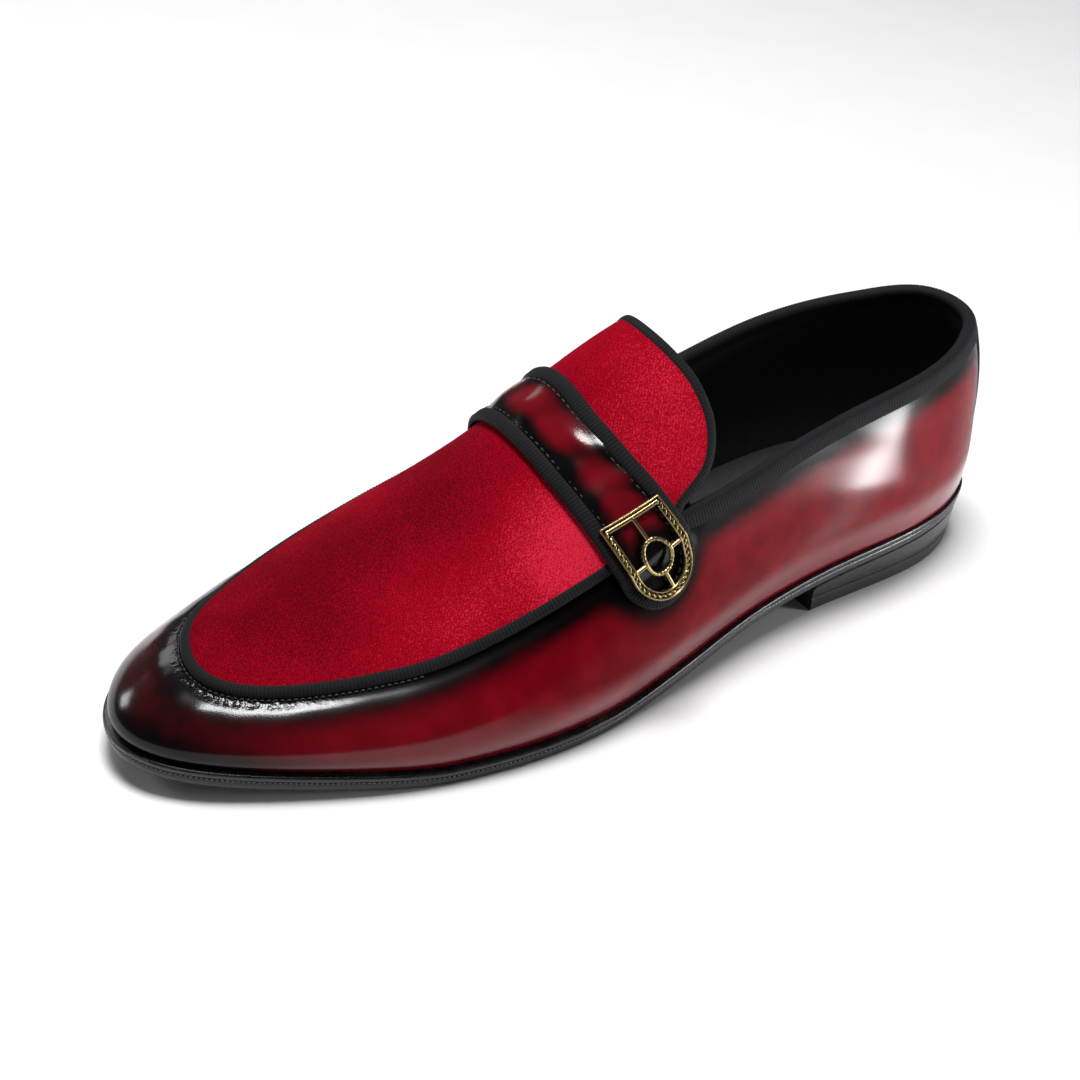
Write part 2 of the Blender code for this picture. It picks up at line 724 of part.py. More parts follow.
def build_strap(parts, cutters):
    """The strap over the plug, with a ribbon folded along its edge."""
    over = RIBBON + CLEARANCE
    low = CLEARANCE
    strap = skin("strap", low, low + STRAP, over, parts)
    combine(strap, strap_cutter("strap_outline", STRAP_RIBBON_WIDTH, cutters), "INTERSECT")
    ribbon = skin("strap_ribbon", low, low + STRAP + STRAP_RIBBON, over, parts)
    combine(ribbon, strap_cutter("ribbon_outline", 0.0, cutters), "INTERSECT")
    hole = strap_cutter("ribbon_hole", STRAP_RIBBON_WIDTH - CLEARANCE, cutters)
    combine(ribbon, hole, "DIFFERENCE")
    finish(strap, RED_LEATHER, 0.22)
    finish(ribbon, BLACK_RIBBON, 0.80)
    return [strap, ribbon]


def build_topline(parts, cutters):
    """The ribbon folded over the opening's edge, in at the inner side and out at the outer."""
    outer = EDGE_RIBBON + CLEARANCE
    ribbon = skin("topline_ribbon", -WALL - outer, outer, 0.0, parts)
    edge = between(TOPLINE, (LENGTH, INSTEP_HEIGHT), TOPLINE_STEPS)
    top = moved_aside(edge, outer)
    bottom = moved_aside(edge, -TOPLINE_RIBBON_WIDTH)
    band = [tuple(p) for p in top] + [tuple(p) for p in bottom[::-1]]
    combine(ribbon, side_cutter("topline_band", band, cutters), "INTERSECT")
    core = skin("topline_core", -WALL - CLEARANCE, CLEARANCE, 0.0, cutters)
    under = moved_aside(edge, CLEARANCE)
    below = [tuple(p) for p in under]
    below += [(0.05, under[-1][1]), (0.05, 0.0), (-0.2, 0.0), (-0.2, under[0][1])]
    combine(core, side_cutter("topline_below", below, cutters), "INTERSECT")
    combine(ribbon, core, "DIFFERENCE")
    finish(ribbon, BLACK_RIBBON, 0.80)
    return [ribbon]


def build_back_strip(parts, cutters):
    """The ribbed strip over the seam at the back of the heel."""
    strip = skin("back_strip", CLEARANCE, CLEARANCE + BACK_STRIP, 0.0, parts)
    edge = between(TOPLINE, (LENGTH, INSTEP_HEIGHT), TOPLINE_STEPS)
    edge = moved_aside(edge, -TOPLINE_RIBBON_WIDTH - CLEARANCE)
    outline = [tuple(p) for p in edge if p[0] < -LENGTH * 0.34]
    outline += [(outline[-1][0], 0.0), (outline[0][0], 0.0)]
    half = BACK_STRIP_WIDTH / 2
    combine(strip, side_cutter("strip_reach", outline, cutters, -half, half), "INTERSECT")
    finish(strip, BLACK_RIBBON, 0.80)
    return [strip]


def build_badge(parts, cutters):
    """The cast frame over the strap's outer end, with a plain ring on four struts inside."""
    over = RIBBON + CLEARANCE
    low = CLEARANCE + STRAP + STRAP_RIBBON + CLEARANCE
    badge = skin("badge", low, low + BADGE, over, parts)
    start = strap_end() - BADGE_MARGIN - BADGE_LENGTH
    outline = round_ended(start, BADGE_MARGIN)
    combine(badge, side_cutter("badge_outline", outline, cutters, near=0.01), "INTERSECT")
    window = round_ended(start + BADGE_RIM, BADGE_MARGIN + BADGE_RIM)
    hole = side_cutter("badge_window", window, cutters, near=0.01)
    at = start + BADGE_LENGTH * 0.50
    middle = strap_place(at)
    down = strap_place(at + 0.001) - middle
    down = down / np.linalg.norm(down)
    across = np.array([-down[1], down[0]])
    keep = side_cutter("badge_ring", ring_points(middle, 0.0050), cutters, near=0.009)
    for angle in (0.0, math.pi / 2):
        way = down * math.cos(angle) + across * math.sin(angle)
        side = down * -math.sin(angle) + across * math.cos(angle)
        corners = [(0.014, 0.0006), (0.014, -0.0006), (-0.014, -0.0006), (-0.014, 0.0006)]
        bar = [tuple(middle + way * a + side * b) for a, b in corners]
        combine(keep, side_cutter("badge_strut", bar, cutters, near=0.0085), "UNION")
    gap = side_cutter("badge_gap", ring_points(middle, 0.0036), cutters, near=0.008)
    combine(keep, gap, "DIFFERENCE")
    combine(hole, keep, "DIFFERENCE")
    combine(badge, hole, "DIFFERENCE")
    finish(badge, OLD_BRASS, 0.35, 1.0)
    return [badge]


def ring_points(middle, radius, steps=20):
    angles = [2.0 * math.pi * n / steps for n in range(steps)]
    return [(middle[0] + radius * math.cos(a), middle[1] + radius * math.sin(a)) for a in angles]


def main():
    for old in list(bpy.data.objects):
        bpy.data.objects.remove(old, do_unlink=True)
    parts = bpy.data.collections.new("loafer")
    cutters = bpy.data.collections.new("cutters")
    bpy.context.scene.collection.children.link(parts)
    bpy.context.scene.collection.children.link(cutters)
    made = build_sole(parts, cutters)
    made += build_heel(parts, cutters)
    made += build_upper(parts, cutters)
    made += build_plug(parts, cutters)
    made += build_strap(parts, cutters)
    made += build_topline(parts, cutters)
    made += build_back_strip(parts, cutters)
    made += build_badge(parts, cutters)
    for cutter in cutters.objects:
        cutter.hide_render = True
        cutter.display_type = "WIRE"
    for part in made:
        print(part.name, len(part.data.polygons))


main()
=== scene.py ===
# %% [markdown]
# # A velvet and leather loafer, dressed over its frame
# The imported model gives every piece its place. This script gives each piece its look: the
# upper of hand-burnished leather, the velvet plug, the ribbed ribbons sewn over each edge, the
# puckered strap with its cast badge, and the edge-dressed sole. One fine copy of the last, the
# form that a shoe is made on, is worked out first, and each piece is then laid on it.

# %% Loading the frame
import math

import bmesh
import bpy
import numpy as np
from mathutils import Matrix, Vector
from mathutils.bvhtree import BVHTree


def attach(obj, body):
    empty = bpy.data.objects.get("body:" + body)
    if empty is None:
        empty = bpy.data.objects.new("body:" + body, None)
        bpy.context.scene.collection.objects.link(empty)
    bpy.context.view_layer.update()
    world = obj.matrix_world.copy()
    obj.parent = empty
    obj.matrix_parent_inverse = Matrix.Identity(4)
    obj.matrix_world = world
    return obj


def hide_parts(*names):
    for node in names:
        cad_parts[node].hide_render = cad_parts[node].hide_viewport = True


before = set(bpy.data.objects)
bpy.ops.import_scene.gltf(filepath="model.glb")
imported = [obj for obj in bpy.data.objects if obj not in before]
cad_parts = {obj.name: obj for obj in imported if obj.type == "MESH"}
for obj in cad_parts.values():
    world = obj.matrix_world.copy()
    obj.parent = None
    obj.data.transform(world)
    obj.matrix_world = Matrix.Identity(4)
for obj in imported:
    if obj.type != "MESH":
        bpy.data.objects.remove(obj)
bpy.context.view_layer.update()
MM = 0.001

# %% [markdown]
# ## The sizes of the shoe
# A shoemaker works from the last: the feather line where upper and sole meet, the ridge over
# the foot, and sections between them. A last could be sculpted by hand, or scanned. Here it is
# a few sizes and tables of shares of them, because every piece can then be worked out from the
# same numbers as the solids, and so sits where its solid sits.

# %% Driving sizes
LENGTH = 297.5 * MM
BALL_WIDTH = 98.5 * MM
HEEL_WIDTH = 65.0 * MM
INSTEP_HEIGHT = 104.5 * MM
TOE_HEIGHT = 31.0 * MM
HEEL_HEIGHT = 15.9 * MM
TOE_SPRING = 7.0 * MM
HEEL_END_RADIUS = 29.5 * MM
TOE_END_RADIUS = 21.0 * MM
TOE_SWING = -4.0 * MM
CLEARANCE = 0.3 * MM
WALL = 2.0 * MM
OUTSOLE = 3.0 * MM
WELT = 2.0 * MM
INSOLE = 2.5 * MM
TOP_LIFT = 5.0 * MM
PLUG_RIBBON = 1.3 * MM
STRAP = 1.4 * MM
STRAP_RIBBON = 0.6 * MM
WELT_MARGIN = 2.0 * MM
SEAT_MARGIN = 1.2 * MM
HEEL_LENGTH = 80.5 * MM
PLUG_RIBBON_WIDTH = 3.4 * MM
TOPLINE_RIBBON_WIDTH = 5.0 * MM
STRAP_WIDTH = 26.2 * MM
STRAP_RIBBON_WIDTH = 4.4 * MM
STRAP_INNER_END = 12.0 * MM
BACK_STRIP_WIDTH = 30.0 * MM
BADGE_MARGIN = 2.6 * MM
BADGE_LENGTH = 22.5 * MM
BADGE_RIM = 3.0 * MM
SPINE_BACK = -0.368
SPINE_FRONT = 0.343

print("Last, mm:", round(LENGTH / MM, 1), "long,", round(BALL_WIDTH / MM, 1), "broad at the ball")

# %% Tables of the sole: its breadth and its height
# Share of LENGTH, then inner and outer half breadths as shares of the last column
BREADTHS = [
    (0.04, 0.308, 0.338, HEEL_WIDTH),
    (0.10, 0.423, 0.454, HEEL_WIDTH),
    (0.17, 0.484, 0.492, HEEL_WIDTH),
    (0.26, 0.477, 0.508, HEEL_WIDTH),
    (0.37, 0.290, 0.371, BALL_WIDTH),
    (0.50, 0.340, 0.452, BALL_WIDTH),
    (0.62, 0.462, 0.503, BALL_WIDTH),
    (0.70, 0.508, 0.492, BALL_WIDTH),
    (0.78, 0.495, 0.445, BALL_WIDTH),
    (0.86, 0.424, 0.357, BALL_WIDTH),
    (0.93, 0.315, 0.260, BALL_WIDTH),
    (0.97, 0.213, 0.181, BALL_WIDTH),
]

# Share of LENGTH, height of the sole's underside as a share of the last column
SOLE_HEIGHTS = [
    (0.00, 1.00, HEEL_HEIGHT),
    (0.12, 0.87, HEEL_HEIGHT),
    (0.25, 0.72, HEEL_HEIGHT),
    (0.36, 0.52, HEEL_HEIGHT),
    (0.48, 0.18, HEEL_HEIGHT),
    (0.58, 0.00, HEEL_HEIGHT),
    (0.74, 0.00, TOE_SPRING),
    (0.82, 0.27, TOE_SPRING),
    (0.91, 0.60, TOE_SPRING),
    (1.00, 1.00, TOE_SPRING),
]
print("The sole is drawn through", len(BREADTHS), "breadths and", len(SOLE_HEIGHTS), "heights")

# %% Tables of the upper: its ridge and its sections
# Share of LENGTH, height of the ridge as a share of the last column
RIDGE_HEIGHTS = [
    (0.00, 0.95, INSTEP_HEIGHT),
    (0.15, 0.99, INSTEP_HEIGHT),
    (0.30, 1.00, INSTEP_HEIGHT),
    (0.40, 0.98, INSTEP_HEIGHT),
    (0.50, 0.865, INSTEP_HEIGHT),
    (0.60, 0.655, INSTEP_HEIGHT),
    (0.70, 0.501, INSTEP_HEIGHT),
    (0.80, 0.394, INSTEP_HEIGHT),
    (0.90, 1.09, TOE_HEIGHT),
    (1.00, 1.00, TOE_HEIGHT),
]

# Share of LENGTH, squareness of wall and of crown, outer swell, inner swell, ridge's place
SECTIONS = [
    (0.00, 3.2, 2.60, 0.006, 0.010, 0.00),
    (0.15, 3.0, 2.50, 0.026, 0.030, 0.00),
    (0.30, 2.6, 2.20, 0.045, 0.035, 0.00),
    (0.40, 2.3, 2.03, 0.051, 0.033, -0.02),
    (0.50, 2.2, 1.90, 0.052, 0.027, -0.04),
    (0.60, 2.2, 1.80, 0.048, 0.020, -0.06),
    (0.70, 2.2, 1.80, 0.042, 0.014, -0.07),
    (0.80, 2.2, 1.88, 0.036, 0.007, -0.06),
    (0.90, 2.3, 2.00, 0.030, 0.004, -0.05),
    (1.00, 2.4, 2.14, 0.022, 0.006, -0.04),
]
print("The upper is drawn through", len(SECTIONS), "sections under one ridge")

# %% Tables of the edges that are drawn on the last
# Share of LENGTH, the plug seam's way up the inner and the outer wall as shares of BALL_WIDTH
SEAM = [
    (0.00, 0.600, 0.600),
    (0.40, 0.600, 0.600),
    (0.48, 0.555, 0.545),
    (0.60, 0.475, 0.446),
    (0.66, 0.428, 0.389),
    (0.73, 0.373, 0.331),
    (0.80, 0.328, 0.279),
    (0.85, 0.302, 0.251),
    (0.90, 0.283, 0.230),
    (0.94, 0.282, 0.226),
    (0.96, 0.288, 0.236),
    (0.98, 0.299, 0.262),
    (1.00, 0.311, 0.311),
]

# From the side: shares of LENGTH from the middle and of INSTEP_HEIGHT
TOPLINE = [
    (-0.560, 0.770),
    (-0.500, 0.767),
    (-0.450, 0.756),
    (-0.400, 0.731),
    (-0.330, 0.703),
    (-0.260, 0.679),
    (-0.180, 0.643),
    (-0.110, 0.604),
    (-0.060, 0.582),
    (-0.026, 0.571),
]
TONGUE = [
    (-0.012, 0.520),
    (-0.019, 0.575),
    (-0.039, 0.613),
    (-0.059, 0.652),
    (-0.072, 0.712),
    (-0.077, 0.776),
    (-0.074, 0.845),
    (-0.064, 0.909),
    (-0.050, 0.966),
    (-0.030, 1.030),
    (0.000, 1.120),
]

# The strap's middle from the side, and how broad it looks there
STRAP_LINE = [
    (0.0590, 1.060, 0.74),
    (0.0585, 0.880, 0.76),
    (0.0590, 0.780, 0.79),
    (0.0505, 0.684, 0.85),
    (0.0363, 0.593, 0.92),
    (0.0217, 0.493, 0.98),
    (0.0040, 0.368, 1.00),
]
print("Edges drawn:", len(SEAM), "rows of seam,", len(TOPLINE), "of topline,", len(TONGUE), "of tongue")

# %% [markdown]
# ## Smooth curves through the tables
# On the bench a curve is a steel rule bent through marks. In code it could be one of Blender's
# curve objects, but these tables are read at many thousand places, which numpy does at once.
# The steady curve never overshoots a row, for heights and edges. The even one bends evenly, for
# the sole's outline and the sections, where a kink would show in the leather's gloss.


# %% A steady curve
def curve_through(places, values, slopes, at):
    """The cubic curve with those values and slopes."""
    widths = np.diff(places)
    at = np.clip(at, places[0], places[-1])
    i = np.clip(np.searchsorted(places, at) - 1, 0, len(widths) - 1)
    t = (at - places[i]) / widths[i]
    start = (1 + 2 * t) * (1 - t) ** 2 * values[i] + t * (1 - t) ** 2 * widths[i] * slopes[i]
    end = t * t * (3 - 2 * t) * values[i + 1] + t * t * (t - 1) * widths[i] * slopes[i + 1]
    return start + end


def steady_curve(rows, at):
    """A smooth curve that never overshoots a row."""
    places = np.array([row[0] for row in rows])
    values = np.array([row[1] for row in rows])
    widths = np.diff(places)
    rates = np.diff(values) / widths
    slopes = np.zeros(len(rows))
    for i in range(1, len(rows) - 1):
        if rates[i - 1] * rates[i] > 0.0:
            before = 2.0 * widths[i] + widths[i - 1]
            after = widths[i] + 2.0 * widths[i - 1]
            slopes[i] = (before + after) / (before / rates[i - 1] + after / rates[i])
    slopes[0] = rates[0]
    slopes[-1] = rates[-1]
    return curve_through(places, values, slopes, at)


print("Topline at the waist, share:", round(float(steady_curve(TOPLINE, -0.2)), 3))


# %% An even curve
def column(rows, index):
    """The first column of a table with one of the others."""
    return [(row[0], row[index]) for row in rows]


def even_curve(rows, at):
    """A cubic spline, level at both ends."""
    places = np.array([row[0] for row in rows])
    values = np.array([row[1] for row in rows])
    widths = np.diff(places)
    rates = np.diff(values) / widths
    system = np.eye(len(rows))
    wanted = np.zeros(len(rows))
    for i in range(1, len(rows) - 1):
        system[i, i - 1] = widths[i]
        system[i, i] = 2.0 * (widths[i] + widths[i - 1])
        system[i, i + 1] = widths[i - 1]
        wanted[i] = 3.0 * (widths[i] * rates[i - 1] + widths[i - 1] * rates[i])
    return curve_through(places, values, np.linalg.solve(system, wanted), at)


print("Squareness of the wall halfway:", round(float(even_curve(column(SECTIONS, 1), 0.5)), 2))


# %% Soft steps and unit vectors
def soft_step(value):
    """0 below 0 and 1 above 1, with an even ramp between."""
    value = np.clip(value, 0.0, 1.0)
    return value * value * (3.0 - 2.0 * value)


def unit(vectors):
    """The same directions, with a length of one."""
    lengths = np.linalg.norm(vectors, axis=-1, keepdims=True)
    return vectors / np.where(lengths > 0.0, lengths, 1.0)


print("A quarter of the way up a soft step:", float(soft_step(0.25)))

# %% [markdown]
# ## The last
# The last is the wooden or plastic form that a shoe is pulled over. It could be a subdivided
# cage, but ribs keep exact sizes: each rib starts at the feather line, swells a little and
# leans in to the ridge. `turn` says where round the sole the rib stands, 0 at the heel and pi
# at the toe, and `run` says how far up the rib a point lies, in metres. Everything on the shoe
# is placed by those two.


# %% The heights and the feather line
def sole_height(x):
    """Height of the sole's underside."""
    rows = [(share, height * size) for share, height, size in SOLE_HEIGHTS]
    return steady_curve(rows, x / LENGTH + 0.5)


def ridge_height(x):
    """Height of the ridge over the foot."""
    rows = [(share, height * size) for share, height, size in RIDGE_HEIGHTS]
    return even_curve(rows, x / LENGTH + 0.5)


def feather_line(turn):
    """Plan of the line where the upper meets the sole."""
    turn = np.asarray(turn, dtype=float)
    half = np.arccos(np.cos(turn))
    sides = []
    for index in (1, 2):
        rows = [(0.0, math.sqrt(HEEL_END_RADIUS * LENGTH / 2))]
        for row in BREADTHS:
            swing = 2.0 * math.sqrt(row[0] * (1.0 - row[0]))
            rows.append((math.acos(1.0 - 2.0 * row[0]), row[index] * row[3] / swing))
        rows.append((math.pi, math.sqrt(TOE_END_RADIUS * LENGTH / 2)))
        sides.append(even_curve(rows, half))
    reach = np.where(np.sin(turn) >= 0.0, sides[1], sides[0])
    share = (1.0 - np.cos(turn)) / 2.0
    y = np.sin(turn) * reach + TOE_SWING * np.clip((share - 0.6) / 0.4, 0.0, 1.0) ** 2
    return np.stack([(share - 0.5) * LENGTH, y], axis=-1)


def feather_outward(turn):
    """Normals of the feather line in plan, pointing away from the shoe."""
    step = 1e-3
    along = feather_line(turn + step) - feather_line(turn - step)
    return unit(np.stack([-along[..., 1], along[..., 0]], axis=-1))


outline = feather_line(np.linspace(0.0, 2.0 * math.pi, 720))
print("Feather line, mm:", np.round(np.ptp(outline, axis=0) / MM, 1))

# %% The surface of the last
# rise * (1 - rise) ** 2 is 4 / 27 at its highest, so this brings the swell to its full size
SWELL_PEAK = 27.0 / 4.0


def last_surface(turn, lift):
    """Points of the last: lift is 0 at the feather line and pi/2 at the ridge."""
    foot = feather_line(turn)
    share = foot[..., 0] / LENGTH + 0.5
    wall = even_curve(column(SECTIONS, 1), share)
    crown = even_curve(column(SECTIONS, 2), share)
    outer = 0.5 * (1.0 + np.tanh(4.0 * np.sin(turn)))
    swell = even_curve(column(SECTIONS, 3), share) * outer
    swell = (swell + even_curve(column(SECTIONS, 4), share) * (1.0 - outer)) * BALL_WIDTH
    rise = np.sin(lift) ** (2.0 / wall)
    inward = 1.0 - np.cos(lift) ** (2.0 / crown)
    middle = (SPINE_BACK + SPINE_FRONT) / 2 * LENGTH
    spine_x = middle + (SPINE_FRONT - SPINE_BACK) * foot[..., 0]
    spine_y = even_curve(column(SECTIONS, 5), spine_x / LENGTH + 0.5) * BALL_WIDTH
    out = swell * SWELL_PEAK * rise * (1.0 - rise) ** 2
    normal = feather_outward(turn)
    x = foot[..., 0] + (spine_x - foot[..., 0]) * inward + normal[..., 0] * out
    y = foot[..., 1] + (spine_y - foot[..., 1]) * inward + normal[..., 1] * out
    low = sole_height(foot[..., 0]) + OUTSOLE + WELT + 2 * CLEARANCE
    z = low + (ridge_height(x) - low) * rise
    return np.stack([x, y, z], axis=-1)


top_of_ridge = last_surface(np.array(math.pi / 2), math.pi / 2)
print("Ridge halfway along, mm:", round(float(top_of_ridge[2]) / MM, 1))

# %% A fine table of the last, to read places and normals from
TURNS = 720
UPS = 240
LIFTS = 360
RIDGE_ROWS = 10


def last_table():
    """Places, normals and rib lengths of the last, on an even net of turns and runs."""
    turn, lift = np.meshgrid(
        np.linspace(0.0, 2.0 * math.pi, TURNS + 1),
        math.pi / 2 * np.linspace(0.0, 1.0, LIFTS) ** 1.5,
        indexing="ij",
    )
    points = last_surface(turn, lift)
    steps = np.linalg.norm(np.diff(points, axis=1), axis=2)
    runs = np.concatenate([np.zeros((TURNS + 1, 1)), np.cumsum(steps, axis=1)], axis=1)
    even = np.zeros((TURNS + 1, UPS + 1, 3))
    up = np.linspace(0.0, 1.0, UPS + 1)
    for i in range(TURNS + 1):
        for k in range(3):
            even[i, :, k] = np.interp(up * runs[i, -1], runs[i], points[i, :, k])
    round_about = np.concatenate([even[-2:-1], even, even[1:2]])
    along = (round_about[2:] - round_about[:-2]) / 2.0
    normals = unit(np.cross(np.gradient(even, axis=1), along))
    # The two sides meet at the ridge, so their normals are blended over its last rows
    top = unit(normals[:, -2] + normals[::-1, -2])
    for back in range(RIDGE_ROWS):
        share = 1.0 - back / RIDGE_ROWS
        normals[:, -1 - back] = unit(normals[:, -1 - back] * (1.0 - share) + top * share)
    return even, normals, runs[:, -1]


PLACES, NORMALS, ENDS = last_table()
print("Table of the last:", PLACES.shape[0], "ribs of", PLACES.shape[1], "points")


# %% Reading the table
def rib_end(turn):
    """Length of a rib, up to the ridge."""
    at = (turn % (2.0 * math.pi)) / (2.0 * math.pi) * TURNS
    return np.interp(at, np.arange(TURNS + 1), ENDS)


def on_last(turn, run, offset=0.0):
    """Points at a turn and at a run up its rib, moved out by offset, and their normals."""
    turn, run, offset = np.broadcast_arrays(turn, run, offset)
    at = (turn % (2.0 * math.pi)) / (2.0 * math.pi) * TURNS
    i = np.minimum(at.astype(int), TURNS - 1)
    f = (at - i)[..., None]
    up = np.clip(run / rib_end(turn), 0.0, 1.0) * UPS
    j = np.minimum(up.astype(int), UPS - 1)
    g = (up - j)[..., None]
    read = []
    for table in (PLACES, NORMALS):
        low = table[i, j] * (1 - f) + table[i + 1, j] * f
        high = table[i, j + 1] * (1 - f) + table[i + 1, j + 1] * f
        read.append(low * (1 - g) + high * g)
    normals = unit(read[1])
    return read[0] + normals * offset[..., None], normals


print("Longest rib, mm:", round(float(ENDS.max()) / MM, 1))

# %% [markdown]
# ## Finding a place on the last
# A pattern cutter draws a piece flat and wraps it round the last. Blender's Shrinkwrap could
# do that for a mesh, but here single places are wanted, as a turn and a run. So a ray from the
# side finds where a drawn point lands, and the nearest point on a net of the last brings any
# other point back on to it. Two short steps along the surface then make either answer exact.

# %% A net of the last, and places on it
NET_STEP = 2
NET_PLACES = PLACES[::NET_STEP, ::NET_STEP]
NET_ROWS, NET_COLUMNS = NET_PLACES.shape[:2]


def grid_faces(rows, columns, closed_rows=False, closed_columns=False):
    """Quads of a grid of points that are listed row by row."""
    i = np.arange(rows if closed_rows else rows - 1)
    j = np.arange(columns if closed_columns else columns - 1)
    i, j = np.meshgrid(i, j, indexing="ij")
    next_i, next_j = (i + 1) % rows, (j + 1) % columns
    corners = [i * columns + j, i * columns + next_j, next_i * columns + next_j, next_i * columns + j]
    return np.stack([corner.reshape(-1) for corner in corners], axis=-1)


NET = BVHTree.FromPolygons(
    [Vector(p) for p in NET_PLACES.reshape(-1, 3)],
    grid_faces(NET_ROWS, NET_COLUMNS).tolist(),
)


def net_place(spot, face):
    """Turn and run of a spot on one face of the net."""
    i, j = divmod(face, NET_COLUMNS - 1)
    corner = NET_PLACES[i, j]
    shares = []
    for way in (NET_PLACES[i + 1, j] - corner, NET_PLACES[i, j + 1] - corner):
        share = np.dot(np.array(spot) - corner, way) / max(np.dot(way, way), 1e-12)
        shares.append(min(max(float(share), 0.0), 1.0))
    turn = (i + shares[0]) * NET_STEP * 2.0 * math.pi / TURNS
    return turn, (j + shares[1]) * NET_STEP / UPS * float(rib_end(turn))


print("Net of the last:", (NET_ROWS - 1) * (NET_COLUMNS - 1), "faces")

# %% Better places, by steps along the surface
TURN_STEP = 4.0 * math.pi / TURNS
RUN_STEP = 0.4 * MM
LONGEST_TURN = 0.05
LONGEST_RUN = 3.0 * MM


def dot(first, second):
    """Dot products of two rows of vectors."""
    return np.sum(first * second, axis=-1)


def closer(points, turn, run):
    """Better turns and runs for points, by two steps along the surface."""
    for _ in range(2):
        off = points - on_last(turn, run)[0]
        ahead = on_last(turn + TURN_STEP, run)[0]
        behind = on_last(turn - TURN_STEP, run)[0]
        above = on_last(turn, run + RUN_STEP)[0]
        below = on_last(turn, run - RUN_STEP)[0]
        way_turn = (ahead - behind) / (2 * TURN_STEP)
        way_run = (above - below) / (2 * RUN_STEP)
        tt, tr, rr = dot(way_turn, way_turn), dot(way_turn, way_run), dot(way_run, way_run)
        off_turn, off_run = dot(off, way_turn), dot(off, way_run)
        whole = tt * rr - tr * tr
        safe = np.abs(whole) > 1e-9
        whole = np.where(safe, whole, 1.0)
        move_run = np.where(safe, (tt * off_run - tr * off_turn) / whole, 0.0)
        move_turn = np.where(safe, (rr * off_turn - tr * off_run) / whole, 0.0)
        run = np.clip(run + np.clip(move_run, -LONGEST_RUN, LONGEST_RUN), 0.0, rib_end(turn))
        turn = turn + np.clip(move_turn, -LONGEST_TURN, LONGEST_TURN)
    return turn, run


def settle(points):
    """Turns and runs of the places on the last nearest to some points."""
    found = []
    for point in points.reshape(-1, 3):
        spot, _, face, _ = NET.find_nearest(Vector(point))
        found.append(net_place(spot, face))
    found = np.array(found).reshape(*points.shape[:-1], 2)
    return closer(points, found[..., 0], found[..., 1])


trial, _ = on_last(np.array([1.0]), np.array([20 * MM]))
print("A place found again:", [round(float(v[0]), 4) for v in settle(trial)])

# %% Wrapping a side view on the last
BESIDE = 0.2


def seen_from_side(outline, side):
    """Places on the last where points drawn in X and Z land, from the outer or inner side."""
    found = []
    for x, z in outline:
        spot, _, face, _ = NET.ray_cast(Vector((x, BESIDE * side, z)), Vector((0, -side, 0)))
        if spot is not None:
            found.append((*spot, *net_place(spot, face)))
    found = np.array(found)
    return np.stack(closer(found[:, :3], found[:, 3], found[:, 4]), axis=-1)


found = seen_from_side([(0.0, 0.05)], 1)
print("A point drawn 50 mm up lands at turn and run:", np.round(found[0], 3))

# %% The plug seam's line
# The seam is drawn apart for each side, so its bend at the toe is eased by this many radians
SEAM_EASE = 0.15


def eased_seam():
    """The seam's run at each turn of the table, eased so that its bend at the toe is round."""
    turns = np.arange(TURNS) * 2.0 * math.pi / TURNS
    share = (1.0 - np.cos(turns)) / 2.0
    outer = even_curve(column(SEAM, 2), share)
    inner = even_curve(column(SEAM, 1), share)
    runs = np.where(np.sin(turns) >= 0.0, outer, inner) * BALL_WIDTH
    far = np.minimum(turns, 2.0 * math.pi - turns)
    weights = np.exp(-0.5 * (far / SEAM_EASE) ** 2)
    return np.real(np.fft.ifft(np.fft.fft(runs) * np.fft.fft(weights / weights.sum())))


SEAM_RUNS = eased_seam()


def seam_run(turn):
    """How far up each rib the plug seam lies."""
    at = np.asarray(turn, dtype=float) % (2.0 * math.pi) / (2.0 * math.pi) * TURNS
    return np.interp(at, np.arange(TURNS + 1), np.append(SEAM_RUNS, SEAM_RUNS[0]))


print("Seam at the toe, mm up the rib:", round(float(seam_run(math.pi)) / MM, 1))


# %% The topline, and what the strap rests on
def topline_run(turn):
    """How far up each rib the opening's edge lies."""
    turn = np.atleast_1d(turn)
    up = np.linspace(0.0, 1.0, UPS + 1)
    runs = up[None, :] * rib_end(turn)[:, None]
    places, _ = on_last(turn[:, None], runs)
    rows = [(x * LENGTH, z * INSTEP_HEIGHT) for x, z in TOPLINE]
    over = places[..., 2] - steady_curve(rows, places[..., 0])
    first = np.clip(np.argmax(over > 0.0, axis=1), 1, UPS)
    pick = np.arange(len(turn))
    share = -over[pick, first - 1] / (over[pick, first] - over[pick, first - 1])
    return runs[pick, first - 1] + share * (runs[pick, first] - runs[pick, first - 1])


STRAP_STEP_START = 7.9 * MM
STRAP_STEP = 6.0 * MM


def cover(turn, run):
    """Height over the last on which the strap rests: it steps up over the plug's ribbon."""
    step_start = seam_run(turn) - STRAP_STEP_START
    rise = soft_step((run - step_start) / STRAP_STEP)
    return CLEARANCE + (PLUG_RIBBON + CLEARANCE) * rise


print("Topline at the heel, mm up the rib:", round(float(topline_run(0.0)[0]) / MM, 1))

# %% [markdown]
# ## Paths
# Each ribbon and each row of stitches follows a path on the shoe. A Blender curve with a bevel
# could do it, but it would cut through the leather where the surface bends. So the path is
# spaced evenly, a few points to each rib of the weave, smoothed a little as a sewn ribbon is,
# and laid back on the last, where the leather's own normals say which way is out.


# %% Even paths
def path_length(points, closed):
    """The run along a path at each of its points."""
    around = np.concatenate([points, points[:1]]) if closed else points
    return np.concatenate([[0.0], np.cumsum(np.linalg.norm(np.diff(around, axis=0), axis=1))])


